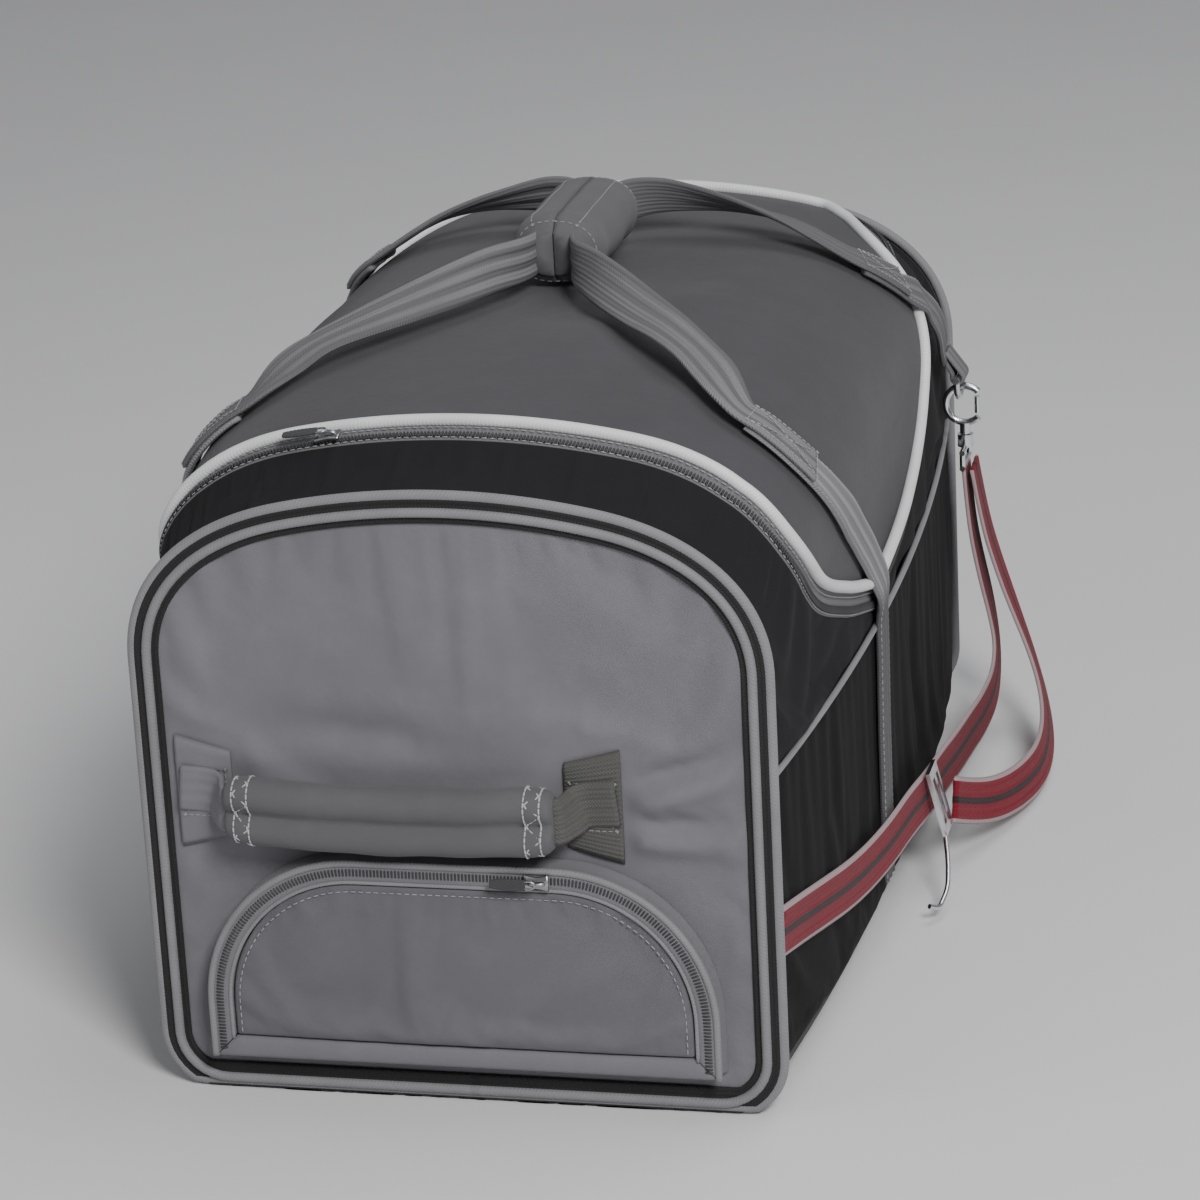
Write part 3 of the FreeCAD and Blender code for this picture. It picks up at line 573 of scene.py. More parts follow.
def grid_faces(rows, cols, close_rows=False, close_cols=False):
    """Four-sided faces over a grid of points, closed on itself either way if asked."""
    faces = []
    for i in range(rows if close_rows else rows - 1):
        for j in range(cols if close_cols else cols - 1):
            i2 = (i + 1) % rows
            j2 = (j + 1) % cols
            faces.append((i * cols + j, i * cols + j2, i2 * cols + j2, i2 * cols + j))
    return faces


def capped_faces(rows, cols):
    """Faces of a tube made of rings, with a cap on each end."""
    low = tuple(range(cols))
    high = tuple((rows - 1) * cols + i for i in low)
    return grid_faces(rows, cols, False, True) + [low[::-1], high]


def run_of(points):
    """The distance along a polyline up to each of its points."""
    return np.concatenate([[0], np.cumsum(np.linalg.norm(np.diff(points, axis=0), axis=-1))])


def lengths_uv(points):
    """UV in metres over a grid of points, measured along its middle row and column."""
    rows, cols = points.shape[:2]
    u = run_of(points[rows // 2])
    v = run_of(points[:, cols // 2])
    return np.stack(np.meshgrid(u, v), -1).reshape(-1, 2)


def rings_uv(rings, long):
    """UV in metres over a tube's rings: round its middle ring, and along its length."""
    u = run_of(rings[len(rings) // 2])
    return np.stack(np.meshgrid(u, np.linspace(0, long, len(rings))), -1).reshape(-1, 2)


def face_out(obj, centre):
    """Turns the faces so that they look away from centre."""
    mesh = obj.data
    total = 0.0
    middle = Vector(centre)
    for p in mesh.polygons:
        total += p.normal.dot(p.center - middle) * p.area
    if total < 0:
        mesh.flip_normals()
    return obj


def grid_object(name, points, material, uvs=None, out_from=(0, 0, HEART_Z)):
    rows, cols = points.shape[:2]
    uvs = lengths_uv(points) if uvs is None else uvs
    obj = mesh_object(name, points.reshape(-1, 3), grid_faces(rows, cols), uvs, material)
    return face_out(obj, out_from)


def baked(obj):
    """Replaces the mesh by what its modifiers make of it."""
    bpy.context.view_layer.update()
    graph = bpy.context.evaluated_depsgraph_get()
    mesh = bpy.data.meshes.new_from_object(obj.evaluated_get(graph))
    obj.modifiers.clear()
    obj.data = mesh
    return obj


def thicken(obj, thickness, levels=1, offset=-1.0, lining=None):
    """Gives a sheet its thickness and its lining, and smooths it."""
    if lining is not None:
        obj.data.materials.append(lining)
    solid = obj.modifiers.new("thickness", "SOLIDIFY")
    solid.thickness = thickness
    solid.offset = offset
    if lining is not None:
        solid.material_offset = 1
        solid.material_offset_rim = 0
    if levels:
        finer = obj.modifiers.new("finer", "SUBSURF")
        finer.levels = levels
        finer.render_levels = levels
    return baked(obj)


def settle(obj, pins, growth, gravity, cap, bend=0.6, frames=16):
    """Lets the cloth, cut a little too large, sag and fold between its pinned seams."""
    group = obj.vertex_groups.new(name="pinned")
    group.add([int(i) for i in pins], 1.0, "REPLACE")
    before = coords(obj)
    sim = obj.modifiers.new("cloth", "CLOTH")
    rules = sim.settings
    rules.vertex_group_mass = "pinned"
    rules.quality = 5
    rules.mass = 0.25
    rules.tension_stiffness = 18
    rules.compression_stiffness = 12
    rules.shear_stiffness = 6
    rules.bending_stiffness = bend
    rules.shrink_min = -growth
    rules.effector_weights.gravity = gravity
    sim.point_cache.frame_start = 1
    sim.point_cache.frame_end = frames
    for number in range(1, frames + 1):
        bpy.context.scene.frame_set(number)
    bpy.context.view_layer.update()
    graph = bpy.context.evaluated_depsgraph_get()
    after = coords(obj.evaluated_get(graph))
    obj.modifiers.clear()
    bpy.context.scene.frame_set(1)
    move = after - before
    far = np.linalg.norm(move, axis=1, keepdims=True)
    move *= np.minimum(1, cap / np.maximum(far, 1e-9))
    set_coords(obj, before + move)
    obj.vertex_groups.clear()
    return obj


def coords(obj):
    mesh = obj.data
    flat = np.zeros(len(mesh.vertices) * 3)
    mesh.vertices.foreach_get("co", flat)
    return flat.reshape(-1, 3)


def set_coords(obj, points):
    obj.data.vertices.foreach_set("co", np.asarray(points, float).ravel())
    obj.data.update()


def waves(points, seed, size, count=5):
    """Smooth unevenness from a few seeded waves, about -1 to 1."""
    rng = np.random.default_rng(seed)
    total = np.zeros(points.shape[:-1])
    for _ in range(count):
        way = rng.normal(size=3)
        way /= np.linalg.norm(way)
        turn = rng.uniform(0.7, 1.5) * 2 * math.pi / size
        total += np.sin(points @ way * turn + rng.uniform(0, 6.28))
    return total / count


def fold(points, start, end, width, depth):
    """A soft ridge (or, with a negative depth, a valley) along a line, fading at its ends."""
    a = np.array(start, float)
    run = np.array(end, float) - a
    t = np.clip(((points - a) @ run) / (run @ run), 0, 1)
    off = np.linalg.norm(points - (a + t[..., None] * run), axis=-1)
    return depth * np.exp(-(off / width) ** 2) * np.sin(math.pi * np.clip(t, 0.04, 0.96)) ** 0.6


def puckers(along, gap, seed, pitch=0.021, height=0.0011, fade=0.014):
    """Small gathers that stand across a seam and fade away from it."""
    rng = np.random.default_rng(seed)
    turn = 2 * math.pi / pitch
    drift = 1.7 * np.sin(along * turn * 0.23 + rng.uniform(0, 6.28))
    size = 0.6 + 0.4 * np.sin(along * turn * 0.31 + rng.uniform(0, 6.28))
    return height * size * np.sin(along * turn + drift) * np.exp(-gap / fade) * np.clip(gap / 0.004, 0, 1)


def frames_along(path, normals):
    """Tangent, normal and across direction at each point of a path."""
    path = np.asarray(path, float)
    tangents = np.gradient(path, axis=0)
    tangents /= np.maximum(np.linalg.norm(tangents, axis=1, keepdims=True), 1e-12)
    normals = np.broadcast_to(np.asarray(normals, float), path.shape).copy()
    normals -= tangents * (normals * tangents).sum(1, keepdims=True)
    normals /= np.maximum(np.linalg.norm(normals, axis=1, keepdims=True), 1e-12)
    across = np.cross(tangents, normals)
    return tangents, normals, across


def sweep(name, path, shape, normals, material, closed=False, scales=None):
    """A closed outline carried along a path. shape is (across, along the normal), in metres."""
    path = np.asarray(path, float)
    shape = np.asarray(shape, float)
    _, normal, across = frames_along(path, normals)
    if closed:
        tangents = np.roll(path, -1, 0) - np.roll(path, 1, 0)
        tangents /= np.linalg.norm(tangents, axis=1, keepdims=True)
        normal = np.broadcast_to(np.asarray(normals, float), path.shape).copy()
        normal -= tangents * (normal * tangents).sum(1, keepdims=True)
        normal /= np.linalg.norm(normal, axis=1, keepdims=True)
        across = np.cross(tangents, normal)
    size = np.ones(len(path)) if scales is None else np.asarray(scales, float)
    points = (path[:, None] + across[:, None] * (shape[None, :, :1] * size[:, None, None])
              + normal[:, None] * (shape[None, :, 1:] * size[:, None, None]))
    rows, cols = points.shape[:2]
    faces = grid_faces(rows, cols, True, True) if closed else capped_faces(rows, cols)
    run = run_of(path)
    u = shape[:, 0] - shape[:, 0].min()
    uvs = np.stack(np.broadcast_arrays(u[None, :], run[:, None]), -1).reshape(-1, 2)
    return tidy_normals(mesh_object(name, points.reshape(-1, 3), faces, uvs, material))


def tidy_normals(obj):
    """Turns every closed shell's faces outwards."""
    work = bmesh.new()
    work.from_mesh(obj.data)
    bmesh.ops.recalc_face_normals(work, faces=work.faces)
    work.to_mesh(obj.data)
    work.free()
    return obj


def round_shape(radius, count=12, flat=1.0):
    angles = np.arange(count) * 2 * math.pi / count
    return np.stack([np.cos(angles) * radius, np.sin(angles) * radius * flat], -1)


def ribbon_shape(wide, thick, ribs=3, rise=0.0004, steps=19):
    """Outline of webbing: ribbed faces and rounded edges."""
    x = np.linspace(-1, 1, steps)
    lift = (np.cos(x * math.pi * ribs) * 0.5 + 0.5) * rise
    edge = np.sqrt(np.clip(1 - np.abs(x) ** 14, 0, 1))
    top = np.stack([x * wide / 2, (thick / 2 + lift) * edge], -1)
    low = np.stack([x[::-1] * wide / 2, -(thick / 2 + lift[::-1]) * edge[::-1]], -1)
    return np.vstack([top, low[1:-1]])


def bead(long, wide, high):
    """A small rounded peg: rings along its length with eight sides."""
    rings = [(-0.5, 0.45), (-0.38, 0.95), (0.38, 0.95), (0.5, 0.45)]
    angles = np.arange(8) * math.pi / 4
    verts = []
    for t, size in rings:
        for a in angles:
            verts.append((t * long, math.cos(a) * wide / 2 * size, math.sin(a) * high / 2 * size))
    return np.array(verts), capped_faces(len(rings), len(angles))


def row_of_beads(name, path, normals, pitch, size, material, across=False, lift=0.0):
    """Small pegs at an even pitch: zip teeth lie across the path, stitches along it."""
    path = np.asarray(path, float)
    normals = np.broadcast_to(np.asarray(normals, float), path.shape)
    both = evenly(np.hstack([path, normals * FAINT]), step=pitch)
    at = both[:, :3]
    tangent, normal, side = frames_along(at, both[:, 3:] / FAINT)
    verts, faces = bead(*size)
    long_way, wide_way = (side, tangent) if across else (tangent, side)
    points = (at[:, None] + long_way[:, None] * verts[None, :, :1] + wide_way[:, None] * verts[None, :, 1:2]
              + normal[:, None] * (verts[None, :, 2:] + lift))
    count = len(at)
    all_faces = [tuple(i * len(verts) + v for v in f) for i in range(count) for f in faces]
    uvs = np.tile(verts[:, :2], (count, 1))
    return tidy_normals(mesh_object(name, points.reshape(-1, 3), all_faces, uvs, material))


def sewing(name, path, normals, thread, pitch=None, finish="thread", lift=0.0):
    """A line of stitches."""
    return row_of_beads(name, path, normals, pitch or sizes().stitch, thread, material(finish), lift=lift)


def teeth_along(name, path, normals):
    """A zip's row of teeth."""
    return row_of_beads(name, path, normals, sizes().tooth, TOOTH, material("zip_coil"), across=True)


def joined(name, objects):
    """One piece from several meshes with the same materials."""
    work = bmesh.new()
    slots = []
    for obj in objects:
        so_far = len(work.faces)
        work.from_mesh(obj.data)
        work.faces.ensure_lookup_table()
        for face in work.faces[so_far:]:
            own = obj.data.materials[face.material_index] if obj.data.materials else None
            if own not in slots:
                slots.append(own)
            face.material_index = slots.index(own)
    mesh = bpy.data.meshes.new(name)
    work.to_mesh(mesh)
    work.free()
    for own in slots:
        mesh.materials.append(own)
    for obj in objects:
        bpy.data.objects.remove(obj)
    return placed(name, mesh)


def coons(bottom, top, left, right):
    """A grid stretched between four edges that share corners."""
    u = np.linspace(0, 1, len(bottom))[None, :, None]
    v = np.linspace(0, 1, len(left))[:, None, None]
    ruled = (1 - v) * bottom[None] + v * top[None]
    ruled = ruled + (1 - u) * left[:, None] + u * right[:, None]
    corners = ((1 - u) * (1 - v) * bottom[0] + u * (1 - v) * bottom[-1]
               + (1 - u) * v * top[0] + u * v * top[-1])
    return ruled - corners


def ship(obj, body, slot, *nodes):
    """Gives a finished piece its body and its nodes, and rests it on the floor. The slot is not used."""
    points = coords(obj)
    points[:, 2] = np.maximum(points[:, 2], 0)
    set_coords(obj, points)
    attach(obj, body)
    if nodes:
        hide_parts(*nodes)
    return obj


def material(key):
    """The bag's finishes by name."""
    c = colours()
    makers = {
        "end_cloth": lambda n: cloth(n, c.end, 1.0, 1.0, 0.22),
        "pocket_cloth": lambda n: cloth(n, c.pocket, 1.0, 1.0, 0.25),
        "band_cloth": lambda n: cloth(n, c.band, 1.0, 1.0, 0.25),
        "hood_cloth": lambda n: cloth(n, c.hood, wear=0.2, roughness=0.88, sheen=0.01),
        "gusset_cloth": lambda n: cloth(n, c.hood, wear=0.2, roughness=0.88, sheen=0.01),
        "side_cloth": lambda n: cloth(n, c.side, wear=0.2, roughness=0.88, sheen=0.01),
        "base_cloth": lambda n: cloth(n, c.base, 1.8, 1.6, 0.3, 0.85),
        "lining": lambda n: cloth(n, c.lining, 0.8, 0.6, 0.1, 0.8),
        "padding": lambda n: cloth(n, c.padding, 0.9, 1.0, 0.2),
        "tape": lambda n: cloth(n, c.tape, 0.7, 1.4, 0.1),
        "grey_piping": lambda n: cord_cloth(n, c.piping, 0.7),
        # Near black: a bound seam that also serves as painted shade between the end cords.
        "binding": lambda n: webbing_cloth(n, shade(c.piping, 0.10)),
        "white_piping": lambda n: cord_cloth(n, c.white, 0.45),
        "carry_webbing": lambda n: webbing_cloth(n, c.webbing, bands=3),
        # The sewn side webbing gets painted shade below the band's tip.
        "side_webbing": lambda n: webbing_cloth(n, shade(c.webbing, 1.6), bands=3, painted_shade_below=TIP[1] - 0.006),
        "patch_webbing": lambda n: webbing_cloth(n, c.patch),
        "strap_webbing": lambda n: webbing_cloth(n, c.strap, c.strap_edge, (0.015, 0.012, 0.014), STRAP_WIDE),
        "zip_coil": lambda n: nylon(n, c.coil),
        "thread": lambda n: nylon(n, shade(c.piping, 1.3), 0.6),
        "light_thread": lambda n: nylon(n, shade(c.piping, 1.9), 0.6),
        "chrome": lambda n: plated(n, (0.78, 0.79, 0.81)),
        "zip_metal": lambda n: plated(n, (0.42, 0.42, 0.44), 0.3),
        "puller": lambda n: cord_cloth(n, (0.05, 0.05, 0.055), 0.7),
        "board": lambda n: board(n),
    }
    return kept(key, makers[key])


# ---------------------------------------------------------------- cloth panels
def edge_indices(rows, cols):
    """The points along the four edges of a grid."""
    index = np.arange(rows * cols).reshape(rows, cols)
    return np.concatenate([index[0], index[-1], index[:, 0], index[:, -1]])


# Creases of a side panel, as start and end (y, z), width and height.
SIDE_FOLDS = [((-0.30, 0.17), (-0.12, 0.07), 0.012, 0.006), ((-0.29, 0.11), (-0.15, 0.15), 0.010, -0.006),
              ((0.10, 0.16), (0.28, 0.06), 0.013, 0.006), ((0.02, 0.17), (0.09, 0.05), 0.010, -0.005)]


def build_sides():
    """Side panels: a slightly slack cloth between the base, the mid-height seam and the ends."""
    for side, sx in SIDES.items():
        ys = np.linspace(-HALF_LONG + END_SEAM, HALF_LONG - END_SEAM, 126)
        zs = np.linspace(BASE_Z, SEAM_Z, 40)
        y, z = np.meshgrid(ys, zs)
        q = sx * q_at_height(y, z)
        v = (z - BASE_Z) / (SEAM_Z - BASE_Z)
        u = (y + HALF_LONG) / (2 * HALF_LONG)
        flat = profile(y, q)
        calm = np.sin(math.pi * v) ** 0.7 * np.sin(math.pi * np.clip(u, 0, 1)) ** 0.5
        lift = calm * (waves(flat, 11 + sx, 0.15) * 0.8 + waves(flat, 21 + sx, 0.07) * 0.35) * sizes().fold
        for start, end, width, height in SIDE_FOLDS:
            lift += fold(flat, (sx * MID_HALF, *start), (sx * MID_HALF, *end), width, height) * calm
        lift += puckers(y, SEAM_Z - z, 13 + sx) + puckers(y, z - BASE_Z, 17 + sx)
        lift += puckers(z, HALF_LONG - np.abs(y), 19 + sx)
        points = flat + skin_normal(y, q) * (lift - 0.0006)[..., None]
        obj = grid_object("side_cloth_" + side, points, material("side_cloth"))
        settle(obj, edge_indices(*y.shape), growth=0.012, gravity=0.5, cap=0.006)
        thicken(obj, sizes().cloth, 1, -1, material("lining"))
        ship(obj, "bag", "side_cloth", "side_panel_" + side)


def build_base():
    """The base cloth with its rounded edges, and the board that lies on it."""
    ys = np.linspace(-HALF_LONG + END_SEAM, HALF_LONG - END_SEAM, 90)
    hem_q = float(q_at_height(0.0, BASE_Z))
    qs = np.concatenate([np.linspace(hem_q, 4.0, 10), np.linspace(4.0, 5.0, 16)[1:]])
    qs = np.concatenate([qs, -qs[::-1][1:]])
    y, q = np.meshgrid(ys, qs)
    points = profile(y, q)
    obj = grid_object("base_cloth", points, material("base_cloth"))
    thicken(obj, sizes().cloth, 1, -1, material("lining"))
    ship(obj, "bag", "base_cloth", "base_panel")
    refinish("base_board", "board")


def refinish(node, finish):
    """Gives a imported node, whose shape stays, a finish of the bag's."""
    mesh = NODES[node].data
    mesh.materials.clear()
    mesh.materials.append(material(finish))
    return mesh


def end_outline(y, across=104, up=112):
    """Four edges of an end panel at y, each a row of points: bottom, top, left, right."""
    top = profile(y, np.linspace(-1.5, 1.5, across))
    right = profile(y, np.linspace(4.4, 1.5, up))
    left = right * np.array([-1, 1, 1])
    bottom = np.linspace(left[0], right[0], across)
    return bottom, top, left, right


# Creases of an end panel, as seen from in front of it: start and end (x, z), width and height. The cloth is
# slack enough for them to stand higher by CREASE_GAIN.
CREASE_GAIN = 1.5
END_FOLDS = [
    ((0.080, 0.180), (0.162, 0.208), 0.0050, -0.0080), ((0.084, 0.172), (0.164, 0.194), 0.0075, 0.0085),
    ((0.084, 0.163), (0.164, 0.166), 0.0045, -0.0085), ((0.086, 0.154), (0.162, 0.146), 0.0080, 0.0080),
    ((0.082, 0.147), (0.160, 0.112), 0.0055, -0.0105), ((0.080, 0.136), (0.158, 0.092), 0.0090, 0.0070),
    ((-0.116, 0.196), (-0.162, 0.232), 0.0065, 0.0070), ((-0.118, 0.184), (-0.164, 0.200), 0.0050, -0.0085),
    ((-0.118, 0.158), (-0.162, 0.146), 0.0050, -0.0090), ((-0.116, 0.148), (-0.160, 0.118), 0.0075, 0.0085),
    ((-0.112, 0.138), (-0.158, 0.096), 0.0055, -0.0080), ((-0.105, 0.212), (0.010, 0.205), 0.0090, -0.0040),
    ((-0.070, 0.300), (-0.125, 0.225), 0.0160, 0.0045), ((0.050, 0.318), (0.128, 0.250), 0.0180, 0.0045),
    ((0.010, 0.290), (0.090, 0.205), 0.0200, -0.0030),
]


def end_folds(seen, sy):
    """All the creases of one end panel."""
    total = np.zeros(seen.shape[:-1])
    for (ax, az), (bx, bz), width, height in END_FOLDS:
        total += fold(seen, (ax, sy * HALF_LONG, az), (bx, sy * HALF_LONG, bz), width, height * CREASE_GAIN)
    return total


def outside_by(points, node):
    """How far points lie outside a node's box, seen from the end: over x and over z."""
    lo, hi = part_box(node)
    return [np.maximum(np.maximum(lo[k] - points[:, k], points[:, k] - hi[k]), 0) for k in (0, 2)]


def inside_of(points, node):
    """Which points lie inside a node's box, seen from the end."""
    lo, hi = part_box(node)
    flags = [(points[:, k] > lo[k]) & (points[:, k] < hi[k]) for k in (0, 2)]
    return np.nonzero(flags[0] & flags[1])[0].tolist()


# How the end cloth is kept off its trim: flat within HELD of the edge and free SLACK further in, standing
# proud by no more than PROUD_MOST, and less near what is sewn to it.
HELD = 0.0105
SLACK = 0.012
FOOT_GAP = 0.0055
PROUD_MOST = 0.0125
PATCH_REACH = 0.010
POCKET_REACH = 0.012


def build_ends():
    """End panels: padded cloth that bellies out, with folds round the grab handle and the pocket."""
    for end, sy in ENDS.items():
        bottom, top, left, right = end_outline(sy * HALF_LONG)
        points = coons(bottom, top, left, right)
        rows, cols = points.shape[:2]
        u = np.linspace(-1, 1, cols)[None, :]
        v = np.linspace(0, 1, rows)[:, None]
        calm = (1 - u ** 4) * np.sin(math.pi * np.clip(v, 0, 1)) ** 0.6
        seen = points * np.array([-sy, 1, 1])
        lift = calm * 0.0042
        lift += calm * (waves(seen, 31 + sy, 0.17) * 0.0026 + waves(seen, 35 + sy, 0.07) * 0.0010)
        lift += calm * end_folds(seen, sy)
        gaps = [points - bottom[None], points - top[None], points - left[:, None], points - right[:, None]]
        edge_gap = np.minimum.reduce([np.abs(gap)[..., (0, 2)].max(-1) for gap in gaps])
        lift += puckers(points[..., 2] + points[..., 0] * 0.6, edge_gap, 37 + sy, 0.024, 0.0016, 0.022)
        edge_gap = np.minimum(edge_gap, points[..., 2] - FOOT_GAP)
        free = np.clip((edge_gap - HELD) / SLACK, 0, 1)
        points[..., 1] += sy * lift * free
        obj = grid_object("end_cloth_" + end, points, material("end_cloth"))
        flat = points.reshape(-1, 3)
        sewn_on = [("grab_patch_%s_%s" % (end, letter), PATCH_REACH) for letter in "ab"]
        if end == "front":
            sewn_on.append(("pocket_rim", POCKET_REACH))
        held = set(edge_indices(rows, cols).tolist())
        for node, _ in sewn_on:
            held |= set(inside_of(flat, node))
        settle(obj, sorted(held), growth=0.012, gravity=0.4, cap=0.004, bend=1.2)
        clip = coords(obj)
        near = np.zeros(len(clip))
        for node, reach in sewn_on:
            dx, dz = outside_by(clip, node)
            near = np.maximum(near, np.exp(-((dx ** 2 + dz ** 2) / reach ** 2)))
        proud = sy * clip[:, 1] - HALF_LONG
        proud = proud * (1 - near) * np.clip(free.ravel() * 2, 0, 1)
        clip[:, 1] = sy * (HALF_LONG + np.minimum(proud, PROUD_MOST))
        set_coords(obj, clip)
        thicken(obj, sizes().cloth, 1, -1, material("lining"))
        ship(obj, "bag", "end_cloth", "end_panel_" + end)


def arc_pair(end, grow_a, grow_b, count):
    """The same stretch of an arc at two offsets, both sampled evenly, whole from tip to tip."""
    pair = []
    for arc in (whole_arc(end, grow_a), whole_arc(end, grow_b)):
        where = np.linspace(0, len(arc) - 1, count)
        index = np.arange(len(arc))
        pair.append(np.stack([np.interp(where, index, arc[:, k]) for k in range(2)], -1))
    return pair


# Creases of the centre band, as start, end, width and height.
BAND_FOLDS = [((0.02, -0.15, MID_HIGH), (0.10, 0.02, MID_HIGH - 0.01), 0.016, 0.003),
              ((-0.10, -0.10, MID_HIGH - 0.01), (0.0, 0.06, MID_HIGH), 0.018, -0.003),
              ((0.10, 0.06, 0.35), (0.165, 0.02, 0.28), 0.012, -0.0035)]


def build_band():
    """Centre band: one cloth from the front arc to the rear arc, meeting in a point on each side."""
    front = whole_arc("front", 0.0)
    rear = whole_arc("rear", 0.0)
    rows = len(front)
    cols = 84
    t = np.linspace(0, 1, cols)[None, :, None]
    yq = front[:, None] * (1 - t) + rear[:, None] * t
    y = yq[..., 0]
    q = yq[..., 1]
    flat = profile(y, q)
    s = np.linspace(-1, 1, rows)[:, None]
    calm = (1 - np.abs(s) ** 6) * np.sin(math.pi * t[..., 0]) ** 0.6
    lift = calm * (waves(flat, 41, 0.22) * 0.7 + waves(flat, 43, 0.10) * 0.35) * sizes().fold
    for start, end, width, height in BAND_FOLDS:
        lift += calm * fold(flat, start, end, width, height)
    points = flat + skin_normal(y, q) * (lift - 0.001)[..., None]
    obj = grid_object("band_cloth", points, material("band_cloth"))
    settle(obj, edge_indices(rows, cols), growth=0.012, gravity=0.8, cap=0.007)
    thicken(obj, sizes().cloth, 1, -1, material("lining"))
    ship(obj, "bag", "band_cloth", "centre_band")


HOOD_ROWS = 22
GUSSET_ROWS = 60


def on_surface(yq):
    """The skin's point for each (y, q)."""
    return profile(yq[:, 0], yq[:, 1])


def evenly_on_skin(yq, count):
    """(y, q) spaced evenly along the skin."""
    return evenly(np.column_stack([yq, on_surface(yq)]), count=count)[:, :2]


def hood_rows(end, sy):
    """(y, q) of both long edges of one end's upper cloth, from the crown to the seam, in two stretches:
    the hood and the gusset beside it."""
    arc = half_arc(end, TAPE)
    tail_y = np.full(4, arc[-1, 0])
    tail_z = np.linspace(profile(*arc[-1])[2], SEAM_Z, 4)
    arc = np.vstack([arc, np.stack([tail_y, q_at_height(tail_y, tail_z)], -1)[1:]])
    x = on_surface(arc)[:, 0]
    split = int(np.argmax(x > HOOD_HALF))
    share = (HOOD_HALF - x[split - 1]) / (x[split] - x[split - 1])
    cut_row = arc[split - 1] + (arc[split] - arc[split - 1]) * share
    hood = evenly_on_skin(np.vstack([arc[:split], cut_row]), HOOD_ROWS)
    gusset = evenly_on_skin(np.vstack([cut_row, arc[split:]]), GUSSET_ROWS)
    end_y = sy * (HALF_LONG - END_SEAM)
    hood_y = np.full(HOOD_ROWS, end_y)
    hood_end = np.stack([hood_y, q_at_side(hood_y, on_surface(hood)[:, 0])], -1)
    top_q = hood_end[-1, 1]
    seam_q = float(q_at_height(end_y, SEAM_Z))
    share = np.linspace(0, 1, GUSSET_ROWS)
    gusset_end = np.stack([np.full(GUSSET_ROWS, end_y), top_q + (seam_q - top_q) * share], -1)
    return hood, hood_end, gusset, gusset_end


# Creases of the front gussets on the right side, as start, end, width and height.
GUSSET_FOLDS = [((0.165, -0.29, 0.25), (0.18, -0.12, 0.205), 0.012, 0.0045),
                ((0.165, -0.28, 0.225), (0.18, -0.16, 0.197), 0.009, -0.0045)]


def upper_cloth_points(end, sy, arc, edge, cols=44):
    """The upper cloth between an arc and an end panel's edge, with its rows kept level on the sides."""
    t = np.linspace(0, 1, cols)[None, :, None]
    yq = arc[:, None] * (1 - t) + edge[:, None] * t
    y = yq[..., 0]
    q = yq[..., 1]
    top = on_surface(arc)[:, None, 2]
    low = on_surface(edge)[:, None, 2]
    level = top * (1 - t[..., 0]) + low * t[..., 0]
    on_side = np.clip((np.abs(q) - 1.1) / 0.7, 0, 1)
    q = q * (1 - on_side) + np.sign(q) * q_at_height(y, level) * on_side
    flat = profile(y, q)
    calm = np.sin(math.pi * t[..., 0]) ** 0.7
    lift = calm * (waves(flat, 51 + sy, 0.16) * 0.55 + waves(flat, 57 + sy, 0.07) * 0.3) * sizes().fold
    lift += puckers(flat[..., 2] + np.abs(flat[..., 0]), HALF_LONG - np.abs(y), 59 + sy)
    if end == "front":
        for sx in (1, -1):
            flip = np.array([sx, 1, 1])
            for start, stop, width, height in GUSSET_FOLDS:
                lift += calm * fold(flat, flip * start, flip * stop, width, height)
    return flat + skin_normal(y, q) * (lift - 0.0008)[..., None]


# How far a gusset tucks under the hood's side.
TUCK = 0.0012


def build_hoods():
    """Upper cloth between each zip and end panel. It is settled whole, then parted at the hood's sides:
    the crown part turns with the hood, and each side part stays in place, tucked just under the hood's side."""
    flip = np.array([1, -1])
    for end, sy in ENDS.items():
        flap = end + "_hood_flap"
        hood, hood_end, gusset, gusset_end = hood_rows(end, sy)
        arc = np.vstack([gusset[::-1][:-1] * flip, hood[::-1][:-1] * flip, hood, gusset[1:]])
        edge = np.vstack([gusset_end[::-1][:-1] * flip, hood_end[::-1][:-1] * flip, hood_end, gusset_end[1:]])
        points = upper_cloth_points(end, sy, arc, edge)
        rows, cols = points.shape[:2]
        whole = grid_object("upper_" + end, points, material("hood_cloth"))
        settle(whole, edge_indices(rows, cols), growth=0.015, gravity=0.5, cap=0.006)
        settled = coords(whole).reshape(rows, cols, 3)
        uvs = lengths_uv(settled).reshape(rows, cols, 2)
        bpy.data.objects.remove(whole)
        hood_start = len(gusset) - 1
        hood_stop = rows - len(gusset)
        # Each part: its first row, the row after its last, and its row that tucks under the hood.
        cuts = {"left": (0, hood_start + 2, -1), "hood": (hood_start, hood_stop + 1, None),
                "right": (hood_stop - 1, rows, 0)}
        for part, (start, stop, tucked) in cuts.items():
            patch = settled[start:stop].copy()
            patch_uv = uvs[start:stop].reshape(-1, 2)
            if part == "hood":
                obj = grid_object(end + "_hood_cloth", patch, material("hood_cloth"), patch_uv)
                thicken(obj, sizes().cloth, 1, -1, material("lining"))
                ship(obj, flap, "hood_cloth", end + "_hood")
                continue
            patch[tucked, :, 2] -= TUCK
            obj = grid_object("%s_gusset_cloth_%s" % (end, part), patch, material("gusset_cloth"), patch_uv)
            thicken(obj, sizes().cloth, 1, -1, material("lining"))
            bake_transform(obj)
            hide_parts("%s_gusset_%s" % (end, part))


# ---------------------------------------------------------------- piping and zips
def skin_path(yq, lift, step=0.004):
    """Points and normals on the skin along (y, q), spaced evenly."""
    points = on_skin(yq[:, 0], yq[:, 1], lift)
    normals = skin_normal(yq[:, 0], yq[:, 1])
    both = evenly(np.hstack([points, normals * FAINT]), step=step)
    return both[:, :3], both[:, 3:] / FAINT


# Radius of the thin cord along a side seam, and how far trim keeps off the floor.
SEAM_CORD = 0.0017
OFF_FLOOR = 0.0003
